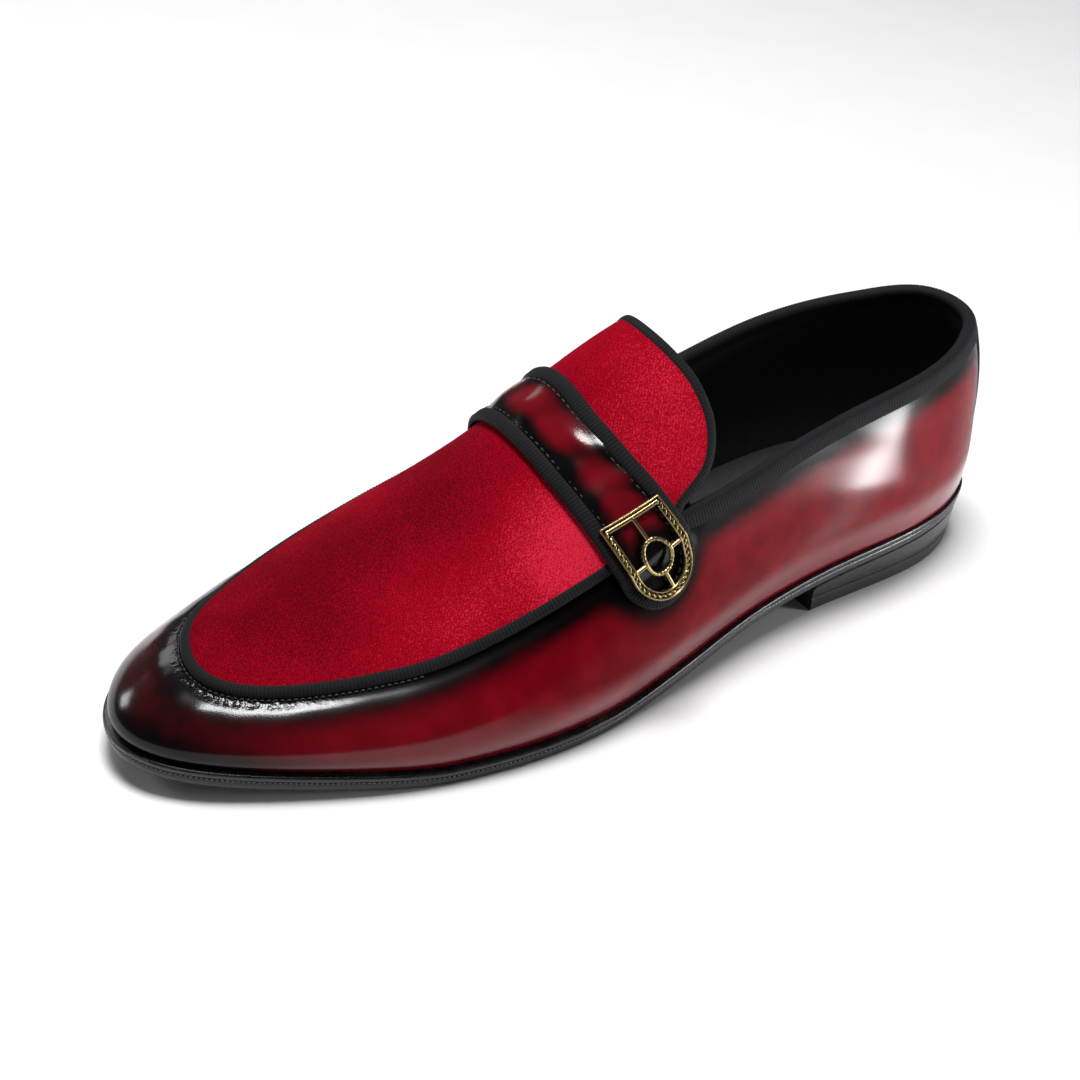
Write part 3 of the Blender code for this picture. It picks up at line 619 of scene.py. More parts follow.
def evenly_spaced(points, step, closed):
    """The same path, with a point at each step."""
    around = np.concatenate([points, points[:1]]) if closed else points
    run = path_length(points, closed)
    at = np.linspace(0.0, run[-1], max(int(round(run[-1] / step)), 8) + 1)
    spaced = np.stack([np.interp(at, run, around[:, k]) for k in range(3)], axis=-1)
    return spaced[:-1] if closed else spaced


def even_path(points, step, closed=False, smooth=0.0):
    """The same path with even steps, and its corners eased over a length."""
    points = evenly_spaced(points, step, closed)
    if smooth > 0.0:
        reach = int(round(3 * smooth / step))
        weights = np.exp(-0.5 * (np.arange(-reach, reach + 1) * step / smooth) ** 2)
        weights /= weights.sum()
        if closed:
            wide = np.pad(points, ((reach, reach), (0, 0)), mode="wrap")
        else:
            before = 2 * points[0] - points[reach:0:-1]
            after = 2 * points[-1] - points[-2:-reach - 2:-1]
            wide = np.concatenate([before, points, after])
        points = np.stack([np.convolve(wide[:, k], weights, "valid") for k in range(3)], -1)
    return evenly_spaced(points, step, closed)


trial_turns = np.linspace(1.0, 1.5, 50)
trial_path = even_path(on_last(trial_turns, seam_run(trial_turns))[0], 1 * MM)
print("Trial path along the seam:", len(trial_path), "points, 1 mm apart")


# %% The way across a path
def path_frame(points, closed, inside):
    """Places on the last under a path, the normals there, and the way across it."""
    turn, run = settle(points)
    places, normals = on_last(turn, run)
    if closed:
        along = np.roll(places, -1, axis=0) - np.roll(places, 1, axis=0)
    else:
        along = np.gradient(places, axis=0)
    across = unit(np.cross(normals, unit(along)))
    if np.mean(np.sum((inside - places) * across, axis=1)) < 0.0:
        across = -across
    return places, normals, across


places, normals, across = path_frame(trial_path, False, np.zeros(3))
print("Way across and normal, cosine:", round(float(np.max(np.abs(dot(normals, across)))), 3))

# %% [markdown]
# ## Colours and shader nodes
# Colours are written as sRGB hex, the way a colour picker shows them, and turned to the linear
# values that a shader works with. Nodes could be wired by hand in the editor. Here one small
# function adds any node with its settings and links: its inputs are a list in the sockets'
# order, or a dictionary by socket.


# %% Colours
def linear(hex_colour):
    """Linear red, green, blue and alpha of an sRGB hex colour."""
    parts = [int(hex_colour[i:i + 2], 16) / 255.0 for i in (1, 3, 5)]
    return [c / 12.92 if c <= 0.04045 else ((c + 0.055) / 1.055) ** 2.4 for c in parts] + [1.0]


print("Mid grey in linear light:", round(linear("#808080")[0], 3))

# %% Nodes
SMOOTH = {"interpolation_type": "SMOOTHSTEP"}
COLOURS = {"data_type": "RGBA"}
ADD = {"operation": "ADD"}


def fill(material, node, inputs):
    """Fills a node's inputs: another node's socket is linked, a plain value is written in."""
    for name, value in inputs.items() if isinstance(inputs, dict) else enumerate(inputs):
        if isinstance(value, bpy.types.NodeSocket):
            material.node_tree.links.new(value, node.inputs[name])
        else:
            node.inputs[name].default_value = value


def add_node(material, kind, inputs=(), output=0, **settings):
    """Adds a node with its settings and inputs, and gives one of its outputs."""
    node = material.node_tree.nodes.new("ShaderNode" + kind)
    for name, value in settings.items():
        setattr(node, name, value)
    fill(material, node, inputs)
    return node.outputs[output]


def new_material(name):
    """An empty material, its Principled shader and its object coordinates, in metres."""
    material = bpy.data.materials.new(name)
    material.use_nodes = True
    shader = material.node_tree.nodes["Principled BSDF"]
    print("Material:", name)
    return material, shader, add_node(material, "TexCoord", output="Object")


print("Settings that recur:", SMOOTH, COLOURS, ADD)

# %% [markdown]
# ## Burnished calf leather
# The upper is smooth chrome-tanned calf, dyed oxblood red, burnished to black by hand at the
# toe, and polished; along the seams and at each edge it is darkened with painted shade. A flat
# colour alone would lose the depth of it, so the clear polish is a coat over a rougher dyed
# surface. Where the wax and the painted shade lie is painted on the mesh as `burnish_and_shade`,
# from distances in millimetres, where the rag has polished most as `polish`, and where the
# needle gathers the leather as `gather`.

# %% The dyer's colours, the black of wax and painted shade, and the sizes of the marks
OXBLOOD = "#680211"
OXBLOOD_LIGHT = "#7E0618"
BURNISHED_AND_SHADE_BLACK = "#060203"
PORE = 0.45 * MM
RAG_MARK = 9.0 * MM
RAG_STREAK = RAG_MARK / 3
GATHER = 1.5 * MM
print("A texture's scale is one over the size of its marks in metres:", round(1 / PORE))


# %% Burnished calf leather
def burnished_and_shaded_leather(name, pucker=0.0):
    """Dyed calf. To the eye: deep red under gloss, black with wax at the toe, painted shade at edges."""
    material, shader, place = new_material(name)
    mark = add_node(material, "TexNoise", {"Vector": place, "Scale": 1 / RAG_MARK, "Detail": 4.0}, "Fac")
    streak = add_node(
        material, "TexNoise", {"Vector": place, "Scale": 1 / RAG_STREAK, "Detail": 5.0}, "Fac"
    )
    # The border of the black wax and painted shade is broken up by noise, as a rag leaves wax
    wax_and_shade = add_node(material, "Attribute", output="Fac", attribute_name="burnish_and_shade")
    for pattern, reach in ((mark, 0.07), (streak, 0.025)):
        uneven = add_node(material, "MapRange", [pattern, 0.3, 0.7, -reach, reach], **SMOOTH)
        wax_and_shade = add_node(material, "Math", [wax_and_shade, uneven], **ADD)
    black = add_node(material, "MapRange", [wax_and_shade, 0.06, 0.96], **SMOOTH)
    depth = add_node(material, "MapRange", [mark, 0.35, 0.75], **SMOOTH)
    dyes = {0: depth, 6: linear(OXBLOOD), 7: linear(OXBLOOD_LIGHT)}
    red = add_node(material, "Mix", dyes, 2, **COLOURS)
    # Real pores are near 0.1 mm; they are drawn at 0.45 mm, as coarse as a pixel needs
    pores = add_node(material, "TexNoise", {"Vector": place, "Scale": 1 / PORE, "Detail": 3.0}, "Fac")
    grain = add_node(
        material, "Bump", {"Height": pores, "Strength": 0.28, "Distance": 0.06 * MM}
    )
    if pucker > 0.0:
        gather = add_node(material, "Attribute", output="Fac", attribute_name="gather")
        knots = add_node(
            material, "TexNoise", {"Vector": place, "Scale": 1 / GATHER, "Detail": 2.0}, "Fac"
        )
        gathered = add_node(material, "Math", [gather, knots], operation="MULTIPLY")
        folds = {"Height": gathered, "Strength": pucker, "Distance": 0.4 * MM, "Normal": grain}
        grain = add_node(material, "Bump", folds)
    # Leather's IOR is near 1.5; the dyed grain itself is dull, and the wax coat has the gloss
    fill(material, shader, {
        "Base Color": add_node(
            material, "Mix", {0: black, 6: red, 7: linear(BURNISHED_AND_SHADE_BLACK)}, 2, **COLOURS
        ),
        "Roughness": add_node(material, "MapRange", [streak, 0.2, 0.8, 0.32, 0.42], **SMOOTH),
        "IOR": 1.5,
        "Specular IOR Level": 0.03,
        "Coat Weight": add_node(material, "Attribute", output="Fac", attribute_name="polish"),
        "Coat Roughness": 0.15,
        "Coat IOR": 1.42,
        "Normal": grain,
        "Coat Normal": grain,
    })
    return material


upper_calf = burnished_and_shaded_leather("burnished_calf_with_shade", pucker=0.8)
strap_calf = burnished_and_shaded_leather("burnished_strap_calf_with_shade")

# %% [markdown]
# ## Velvet
# The plug is cut-pile velvet: a twill ground with a short upright pile, cropped by a blade. It
# could be hair strands, but a million of them would show less than a pixel each. The pile
# scatters light at grazing angles, which is what sheen does. Its bright and nearly black-red
# patches, where the pile catches the light or not, are painted into its colour as sheen and shade.

# %% The velvet's colours, also used for painted sheen and shade, and the sizes of pile and twill
VELVET_RED = "#9C041C"
VELVET_DEEP = "#5C0210"
VELVET_BRIGHT = "#E22A44"
PILE_GLOW = "#FF2E44"
PILE = 0.5 * MM
NAP_PATCH = 34.0 * MM
TWILL = 0.9 * MM
TWILL_TURN = 0.75
WAVE_TURN = math.pi / 10.0
print("A wave texture repeats each pi / 10 units, so the twill's scale is", round(WAVE_TURN / TWILL))


# %% Cut-pile velvet
def cut_velvet(name):
    """Velvet. To the eye: a soft glow at the edges, speckled, with painted patches of sheen and shade.
    """
    material, shader, place = new_material(name)
    patch = add_node(
        material, "TexNoise", {"Vector": place, "Scale": 1 / NAP_PATCH, "Detail": 3.0}, "Fac"
    )
    # Real pile is near 0.1 mm; the speckle is drawn at 0.5 mm, as coarse as it needs to show
    pile_marks = {"Vector": place, "Scale": 1 / PILE, "Detail": 4.0, "Roughness": 0.7}
    pile = add_node(material, "TexNoise", pile_marks, "Fac")
    turned = add_node(material, "Mapping", {"Vector": place, "Rotation": (0.0, 0.0, TWILL_TURN)})
    ribs = {"Vector": turned, "Scale": WAVE_TURN / TWILL, "Distortion": 0.8, "Detail": 2.0}
    twill = add_node(
        material, "TexWave", ribs, "Fac", wave_type="BANDS", bands_direction="X"
    )
    # The bright and dark patches read from the mesh are painted sheen and shade; random tone is added
    sheen_and_lay = add_node(material, "Attribute", output="Fac", attribute_name="nap_sheen_and_shade")
    for pattern, low, high, amount in (
        (patch, 0.3, 0.7, 0.10), (pile, 0.3, 0.75, 0.30), (twill, 0.0, 1.0, 0.04)
    ):
        leaning = add_node(material, "MapRange", [pattern, low, high, -amount, amount], **SMOOTH)
        sheen_and_lay = add_node(material, "Math", [sheen_and_lay, leaning], **ADD)
    colour = linear(VELVET_DEEP)
    for start, brighter in ((0.0, VELVET_RED), (0.5, VELVET_BRIGHT)):
        share = add_node(material, "MapRange", [sheen_and_lay, start, start + 0.5], **SMOOTH)
        shades = {0: share, 6: colour, 7: linear(brighter)}
        colour = add_node(material, "Mix", shades, 2, **COLOURS)
    speckle = add_node(material, "MapRange", [pile, 0.32, 0.72], **SMOOTH)
    fluff = add_node(
        material, "Bump", {"Height": speckle, "Strength": 0.35, "Distance": 0.2 * MM}
    )
    fill(material, shader, {
        "Base Color": colour,
        "Roughness": 0.95,
        "Specular IOR Level": 0.03,
        "Sheen Weight": 0.35,
        "Sheen Roughness": 0.35,
        "Sheen Tint": linear(PILE_GLOW),
        "Normal": fluff,
    })
    return material


plug_velvet = cut_velvet("cut_pile_velvet")

# %% [markdown]
# ## Grosgrain ribbon
# The black bindings are grosgrain, a ribbed ribbon of rayon: thick weft cords under a fine
# warp. The ribs could be a bump, but they catch the light along the edges of the shoe, so they
# are modelled in the mesh at their real spacing, and only the fine threads on them are a bump.
# The grooves between the ribs are also darkened in the colour, as painted shade.

# %% Woven grosgrain
THREAD = 0.22 * MM
WEAR = 14 * MM


def woven_grosgrain(name):
    """Rayon ribbon. To the eye: dull near-black ribs with a little grey on their tops, painted shade in
    grooves.
    """
    material, shader, place = new_material(name)
    # Real warp threads are near 0.1 mm; they are drawn at 0.22 mm, so as not to blur away
    threads = add_node(
        material, "TexNoise", {"Vector": place, "Scale": 1 / THREAD, "Detail": 3.0}, "Fac"
    )
    wear = add_node(material, "TexNoise", {"Vector": place, "Scale": 1 / WEAR, "Detail": 3.0}, "Fac")
    groove = add_node(material, "Attribute", output="Fac", attribute_name="groove")
    worn = add_node(material, "MapRange", [wear, 0.3, 0.7], **SMOOTH)
    lit = add_node(material, "MapRange", [threads, 0.35, 0.7, 0.0, 0.35], **SMOOTH)
    colour = linear("#0D0E11")
    # The grooves between ribs are darkened towards #050506: painted shade
    for share, shade in ((worn, "#141519"), (lit, "#26272C"), (groove, "#050506")):
        colour = add_node(material, "Mix", {0: share, 6: colour, 7: linear(shade)}, 2, **COLOURS)
    bump = add_node(material, "Bump", {"Height": threads, "Strength": 0.25, "Distance": 0.1 * MM})
    fill(material, shader, {
        "Base Color": colour,
        "Roughness": 0.72,
        "Specular IOR Level": 0.18,
        "Sheen Weight": 0.03,
        "Sheen Roughness": 0.5,
        "Normal": bump,
    })
    return material


grosgrain = woven_grosgrain("ribbed_grosgrain")

# %% [markdown]
# ## Sole leather, rubber and stacked heel
# The edges of sole, welt and heel are bark-tanned leather, sanded, inked black and ironed with
# hot wax, and the top lift is moulded rubber. Each could be plain black, but the iron leaves
# fine streaks along the edge. One finish makes all four, with its own shades and its own gloss.

# %% Inked and ironed edges
STREAK = 0.6 * MM
ALONG_EDGE = (0.15, 0.15, 1.0)


def dressed_edge(name, colour, light, smoothest, roughest):
    """An ironed edge. To the eye: satin black, with long faint streaks round the shoe."""
    material, shader, place = new_material(name)
    stretched = add_node(material, "Mapping", {"Vector": place, "Scale": ALONG_EDGE})
    layers = add_node(
        material, "TexNoise", {"Vector": stretched, "Scale": 1 / STREAK, "Detail": 4.0}, "Fac"
    )
    tone = add_node(material, "MapRange", [layers, 0.3, 0.8], **SMOOTH)
    inks = {0: tone, 6: linear(colour), 7: linear(light)}
    iron = [layers, 0.3, 0.7, smoothest, roughest]
    fill(material, shader, {
        "Base Color": add_node(material, "Mix", inks, 2, **COLOURS),
        "Roughness": add_node(material, "MapRange", iron, **SMOOTH),
        "Normal": add_node(
            material, "Bump", {"Height": layers, "Strength": 0.06, "Distance": 0.1 * MM}
        ),
    })
    return material


inked_edge = dressed_edge("inked_sole_leather", "#0E0E10", "#1D1D20", 0.24, 0.38)
waxed_welt = dressed_edge("waxed_welt_leather", "#121214", "#26262A", 0.22, 0.34)
inked_stack = dressed_edge("inked_heel_stack", "#1A1A1C", "#242427", 0.26, 0.32)
lift_rubber = dressed_edge("moulded_heel_rubber", "#0D0D0E", "#171719", 0.42, 0.55)

# %% [markdown]
# ## Lining leather and cork
# Inside, the shoe is lined with thin leather, bark-tanned and left without polish, and under
# the insole lies a filler of ground cork in latex. Both are cut sheets with a pattern of cells,
# which a cell texture draws at its real size, so no cell has to be modelled.

# %% Lining leather
GRAIN = 1.1 * MM


def lining_leather(name):
    """Lining leather. To the eye: matte black, with an open grain seen only close by."""
    material, shader, place = new_material(name)
    grain = add_node(material, "TexVoronoi", {"Vector": place, "Scale": 1 / GRAIN}, "Distance")
    tone = add_node(material, "MapRange", [grain, 0.0, 0.8], **SMOOTH)
    shades = {0: tone, 6: linear("#161617"), 7: linear("#242426")}
    fill(material, shader, {
        "Base Color": add_node(material, "Mix", shades, 2, **COLOURS),
        "Roughness": 0.62,
        "Normal": add_node(
            material, "Bump", {"Height": grain, "Strength": 0.25, "Distance": 0.1 * MM}
        ),
    })
    return material


lining = lining_leather("lining_leather")

# %% Ground cork
CRUMB = 2.2 * MM


def ground_cork(name):
    """Cork filler. To the eye: dry crumbs in browns, which no light glances off."""
    material, shader, place = new_material(name)
    crumb = add_node(material, "TexVoronoi", {"Vector": place, "Scale": 1 / CRUMB}, "Color")
    value = add_node(material, "RGBToBW", [crumb])
    shades = {0: value, 6: linear("#6E4A2C"), 7: linear("#A87A4C")}
    fill(material, shader, {
        "Base Color": add_node(material, "Mix", shades, 2, **COLOURS),
        "Roughness": 0.9,
    })
    return material


cork = ground_cork("ground_cork")

# %% [markdown]
# ## Antiqued brass
# The badge is cast brass, darkened in a bath and rubbed back by hand. A worn edge could be
# found by the shader from curvature, but the export would lose that, so how deep each point
# lies is painted on the mesh as `groove`, and the patina gathers there.

# %% Antiqued cast brass
PATINA = 1.3 * MM


def antique_brass(name):
    """Cast brass. To the eye: warm metal on the raised parts, dull brown-black in recesses."""
    material, shader, place = new_material(name)
    recess = add_node(material, "Attribute", output="Fac", attribute_name="groove")
    patina = add_node(
        material, "TexNoise", {"Vector": place, "Scale": 1 / PATINA, "Detail": 4.0}, "Fac"
    )
    stain = add_node(material, "MapRange", [patina, 0.35, 0.75, -0.1, 0.45], **SMOOTH)
    dark = add_node(material, "Math", [recess, stain], **ADD)
    share = add_node(material, "MapRange", [dark, 0.15, 0.85], **SMOOTH)
    shades = {0: share, 6: linear("#A08E64"), 7: linear("#15110B")}
    fill(material, shader, {
        "Base Color": add_node(material, "Mix", shades, 2, **COLOURS),
        "Metallic": 1.0,
        "Roughness": add_node(material, "MapRange", [dark, 0.2, 0.9, 0.28, 0.6], **SMOOTH),
        "Normal": add_node(
            material, "Bump", {"Height": patina, "Strength": 0.35, "Distance": 0.15 * MM}
        ),
    })
    return material


brass = antique_brass("antiqued_cast_brass")

# %% [markdown]
# ## Waxed linen thread
# The stitches are linen, twisted and drawn through wax. The strands could be modelled, but at
# half a millimetre they are too fine to see, so a noise at the twist's length stands for them.

# %% Waxed linen
TWIST = 0.3 * MM


def waxed_linen(name, dark, light):
    """Linen thread. To the eye: dull, with a faint mottle from its twist."""
    material, shader, place = new_material(name)
    twist = add_node(material, "TexNoise", {"Vector": place, "Scale": 1 / TWIST, "Detail": 2.0}, "Fac")
    shades = {0: twist, 6: linear(dark), 7: linear(light)}
    fill(material, shader, {
        "Base Color": add_node(material, "Mix", shades, 2, **COLOURS),
        "Roughness": 0.6,
        "Normal": add_node(
            material, "Bump", {"Height": twist, "Strength": 0.3, "Distance": 0.1 * MM}
        ),
    })
    return material


waxed_thread = waxed_linen("waxed_linen_thread", "#1A1A1C", "#3A3A3E")
pale_grey_thread = waxed_linen("pale_grey_linen_thread", "#4A4A4E", "#8C8C90")

# %% [markdown]
# ## Meshes
# Each piece of the shoe is cut from a sheet or swept along a line, so each is a grid of points
# in numpy, turned into a mesh. Modifiers could do some of it, but points in numpy go exactly
# where the last says. Values painted on the points, such as `burnish_and_shade` with its
# painted shade, travel with the mesh as attributes that the material reads.


# %% Making, placing and painting a piece
def add_piece(name, points, faces, material, nodes=(), paint=None, outward=False):
    """A mesh piece that rides on the shoe and stands for some CAD nodes."""
    mesh = bpy.data.meshes.new(name)
    mesh.from_pydata(points.reshape(-1, 3).tolist(), [], [list(face) for face in faces])
    for label, values in (paint or {}).items():
        layer = mesh.attributes.new(label, "FLOAT", "POINT")
        layer.data.foreach_set("value", np.asarray(values, dtype=np.float32).reshape(-1))
    work = bmesh.new()
    work.from_mesh(mesh)
    bmesh.ops.remove_doubles(work, verts=work.verts, dist=0.01 * MM)
    bmesh.ops.delete(work, geom=[v for v in work.verts if not v.link_faces], context="VERTS")
    if outward:
        bmesh.ops.recalc_face_normals(work, faces=work.faces)
    work.to_mesh(mesh)
    work.free()
    mesh.shade_smooth()
    mesh.materials.append(material)
    piece = bpy.data.objects.new(name, mesh)
    bpy.context.scene.collection.objects.link(piece)
    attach(piece, "root")
    if nodes:
        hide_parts(*nodes)
    print(name, len(mesh.polygons), "faces")
    return piece


print("CAD nodes to dress:", len(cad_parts))


# %% Faces of tubes
def tube_faces(rows, columns, closed):
    """Faces of a tube, which has a lid on each end unless it is closed to a loop."""
    faces = grid_faces(rows, columns, closed_rows=closed, closed_columns=True).tolist()
    if not closed:
        faces.append(list(range(columns)))
        faces.append([(rows - 1) * columns + k for k in reversed(range(columns))])
    return faces


print("A tube of 5 rings of 6 points:", len(tube_faces(5, 6, False)), "faces")

# %% [markdown]
# ## The strap's outline
# The strap is one piece of calf laid over the instep. Its outline could be drawn flat and bent,
# but it is known from the side, so it is drawn there: a middle line and a breadth, which
# narrows where the strap slopes away over the ridge. Its outer end is round and carries the
# badge, and its inner end is square.


# %% The strap's middle line
def side_curve(rows, steps=8):
    """Points of a smooth curve through side-view shares, in metres."""
    points = np.array([row[:2] for row in rows]) * np.array([LENGTH, INSTEP_HEIGHT])
    run = path_length(points, False)
    at = np.linspace(0.0, run[-1], steps * (len(rows) - 1) + 1)
    x = steady_curve(list(zip(run, points[:, 0])), at)
    z = steady_curve(list(zip(run, points[:, 1])), at)
    return np.stack([x, z], axis=-1)


STRAP_MIDDLE = side_curve(STRAP_LINE)
STRAP_RUN = path_length(STRAP_MIDDLE, False)
STRAP_WAY = unit(np.gradient(STRAP_MIDDLE, axis=0))
STRAP_END = float(STRAP_RUN[-1])
ROUND_START = STRAP_END - STRAP_WIDTH / 2
print("Strap, mm from the ridge to its round tip:", round(STRAP_END / MM, 1))


# %% The strap's two ends
def strap_place(at, aside=0.0):
    """A point at a run along the strap and a distance aside of its middle, towards the toe."""
    way = unit(np.array([np.interp(at, STRAP_RUN, STRAP_WAY[:, k]) for k in (0, 1)]))
    place = np.array([np.interp(at, STRAP_RUN, STRAP_MIDDLE[:, k]) for k in (0, 1)])
    rows = [(row[1], row[2]) for row in reversed(STRAP_LINE)]
    breadth = float(steady_curve(rows, place[1] / INSTEP_HEIGHT))
    return place + np.array([-way[1], way[0]]) * aside * breadth


def round_ended(start, inset):
    """The strap's outline from the outer side, drawn in by inset."""
    half = STRAP_WIDTH / 2 - inset
    places = np.linspace(start, ROUND_START, 200)
    points = [strap_place(at, half) for at in places]
    for angle in np.linspace(0.0, math.pi, 61)[1:-1]:
        points.append(strap_place(ROUND_START + half * math.sin(angle), half * math.cos(angle)))
    return np.array(points + [strap_place(at, -half) for at in places[::-1]])


def square_ended(start, inset):
    """The strap's outline from the inner side."""
    half = STRAP_WIDTH / 2 - inset
    end = STRAP_END - STRAP_INNER_END - inset
    places = np.linspace(start, end, 200)
    points = [strap_place(at, half) for at in places]
    points += [strap_place(end, half * (1 - 2 * n / 40)) for n in range(1, 40)]
    return np.array(points + [strap_place(at, -half) for at in places[::-1]])


print("Outer end drawn with", len(round_ended(0.0, 0.0)), "points")

# %% [markdown]
# ## The leather upper
# Calf is cut, sewn and pulled tight over the last, then nailed under it until it keeps the
# shape. It could be sculpted, but a grid of ribs, each ending where its edge is, gives smooth
# edges that hide under the ribbons. It is one skin from the feather line to its edges: the
# topline behind, the plug seam in front.

# %% Where the opening ends
OPENING_FRONT = TOPLINE[-1][0] * LENGTH
SEARCHED = (0.2, math.pi / 2 + 0.4)


def opening_turns():
    """Turns at which the topline passes under the tongue, on the outer and the inner side."""
    ends = []
    for side in (1, -1):
        turns = side * np.linspace(*SEARCHED, 200)
        places, _ = on_last(turns, topline_run(turns))
        ends.append(float(np.interp(OPENING_FRONT, places[:, 0], turns)))
    return ends


OUTER_FRONT, INNER_FRONT = opening_turns()
print("The opening ends at turns", round(OUTER_FRONT, 3), "and", round(INNER_FRONT, 3))

# %% How far up the leather reaches
UNDER_RIBBON = 2.0 * MM
CHANGE_OVER = 0.03


def past_opening(turn):
    """How far each turn is ahead of the opening's end on its side; less than 0 is behind it."""
    signed = (turn + math.pi) % (2.0 * math.pi) - math.pi
    return np.where(signed >= 0.0, signed - OUTER_FRONT, INNER_FRONT - signed)


def leather_reach(turn):
    """Length of leather up each rib."""
    behind = topline_run(turn) - UNDER_RIBBON
    ahead = seam_run(turn) + UNDER_RIBBON
    share = soft_step(past_opening(turn) / CHANGE_OVER + 0.5)
    return behind * (1.0 - share) + ahead * share


print("Leather at the toe, mm:", round(float(leather_reach(np.array([math.pi]))[0]) / MM, 1))

# %% [markdown]
# ### Creases
# Leather that has been pulled over a last is never quite even, and its gloss shows it. A noise
# could make it uneven anywhere, but the marks of a real shoe have places: the hollow of the
# quarter, the bend behind the toe. So each soft trough or ridge is one row of a table.

# %% Soft troughs and ridges
# Share of LENGTH from the heel, outer side 1 or inner side -1, height up the rib, length and
# width, lean of the long axis in radians, and height, which is below 0 for a trough
CREASES = [
    (0.18, 1, 19 * MM, 40 * MM, 11 * MM, 0.22, 2.20 * MM),
    (0.21, 1, 45 * MM, 40 * MM, 7 * MM, 0.30, -0.60 * MM),
    (0.13, 1, 30 * MM, 26 * MM, 8 * MM, 1.3, -0.40 * MM),
    (0.33, 1, 26 * MM, 36 * MM, 11 * MM, 0.5, -0.45 * MM),
    (0.47, 1, 20 * MM, 30 * MM, 8 * MM, 0.4, 0.35 * MM),
    (0.66, 1, 16 * MM, 34 * MM, 7 * MM, -0.2, -0.30 * MM),
    (0.74, 1, 12 * MM, 30 * MM, 5 * MM, -0.1, 0.30 * MM),
    (0.20, -1, 32 * MM, 30 * MM, 10 * MM, 1.1, -0.50 * MM),
    (0.34, -1, 28 * MM, 36 * MM, 10 * MM, 0.6, 0.45 * MM),
    (0.60, -1, 20 * MM, 34 * MM, 8 * MM, 0.3, -0.35 * MM),
    (0.72, -1, 15 * MM, 30 * MM, 6 * MM, -0.1, 0.30 * MM),
]


def creases(turn, run):
    """Height of the soft ridges and troughs at each point."""
    rise = np.zeros_like(run)
    along = (1.0 - np.cos(turn)) / 2.0
    for share, side, height, length, width, lean, amount in CREASES:
        u = (along - share) * LENGTH
        v = run - height
        long_way = (u * math.cos(lean) + v * math.sin(lean)) / length
        short_way = (v * math.cos(lean) - u * math.sin(lean)) / width
        here = np.exp(-long_way ** 2 - short_way ** 2)
        rise += amount * here * (np.sin(turn) * side > 0.0)
    return rise


print("Creases:", len(CREASES), "soft troughs and ridges")

# %% [markdown]
# ### Wax, painted shade and polish
# Black wax is rubbed in at the toe, and painted shade darkens the leather where a shadow would
# fall: along the seams, the topline, the welt, the back and round the strap's end. It could be
# painted by hand on the mesh, but distances in millimetres can be changed and tried again. Each
# mark fades out softly, and marks that overlap add up without going past 1.

# %% Where the black wax and the painted shade lie
SHADE_AT_SEAM = 7.5 * MM
SHADE_AT_TOPLINE = 5.5 * MM
SHADE_AT_WELT = 6.0 * MM
BURNISH_AT_TOE = 36.0 * MM
BURNISH_ON_TOECAP = 13.0 * MM
SHADE_AT_BACK = 10.0 * MM
SHADE_AT_STRAP = 6.0 * MM
EVEN_BLACK = 4.0 * MM
WAIST = (-60 * MM, 20 * MM)


def fading(distance, reach):
    """From 1 at no distance down to nothing, over a reach."""
    return np.exp(-(np.maximum(distance, 0.0) / reach) ** 2)


def burnish_and_shade_on_upper(places, turn, run):
    """How black each point of the upper is, 0 to 1: wax at the toe, painted shade at the edges."""
    x, z = places[..., 0], places[..., 2]
    front = past_opening(turn) > 0.0
    from_edge = leather_reach(turn[:, 0])[:, None] - run - EVEN_BLACK
    # Painted shade beside the ribbons, low along the welt, at the back and round the strap's end
    at_seam = front * fading(from_edge, SHADE_AT_SEAM)
    at_topline = (1 - front) * 0.95 * fading(from_edge, SHADE_AT_TOPLINE)
    forward = soft_step((x - WAIST[0]) / (WAIST[1] - WAIST[0]))
    low = 0.6 * fading(run, SHADE_AT_WELT) * (0.35 + 0.65 * forward)
    toe = fading(LENGTH / 2 - x, BURNISH_AT_TOE) * (0.66 + 0.34 * fading(run, BURNISH_ON_TOECAP))
    from_back = np.abs(x + LENGTH / 2 - EVEN_BLACK)
    back = 0.8 * fading(from_back, SHADE_AT_BACK) * (x < 0)
    badge = strap_place(ROUND_START)
    from_strap = np.hypot(x - badge[0], z - badge[1]) - STRAP_WIDTH / 2
    strap = 0.9 * fading(from_strap, SHADE_AT_STRAP)
    clean = np.ones_like(run)
    for mark in (at_seam, at_topline, low, toe, back, strap):
        clean *= 1.0 - np.clip(mark, 0.0, 1.0)
    return 1.0 - clean


# The seam's black is painted shade
print("Wax 10 mm from the seam's black:", round(float(fading(10 * MM, SHADE_AT_SEAM)), 2))

# %% Where the rag has polished
# Toe and floor band are polished fully, the vamp hardly, and the quarter between them
POLISHED_BAND = 8.0 * MM
BAND_FADE = 9.0 * MM
TOE_FADE = (40 * MM, 90 * MM)
QUARTER_FADE = (-65 * MM, -25 * MM)
DULL_VAMP = 0.94
LESS_DULL_QUARTER = 0.16

# One slanting stripe on the outer quarter is rubbed up: where, how high, its slope and sizes
RUBBED_AT = -0.272 * LENGTH
RUBBED_UP = 34.0 * MM
RUBBED_SLOPE = 0.85
RUBBED_WIDE = 11.0 * MM
RUBBED_HIGH = 18.0 * MM
RUBBED = 0.95

# The lowest edge of the toe is handled least
LOW_TOE = 9.0 * MM
LOW_TOE_FROM = 95.0 * MM
LOW_TOE_FADE = 30.0 * MM
LOW_TOE_LESS = 0.55


def rubbed_stripe(x, turn, run):
    """How much each point lies on the slanting stripe of the outer quarter."""
    up = run - RUBBED_UP
    aside = x - RUBBED_AT + RUBBED_SLOPE * up
    stripe = np.exp(-(aside / RUBBED_WIDE) ** 2) * np.exp(-(up / RUBBED_HIGH) ** 4)
    return stripe * (np.sin(turn) > 0.0)


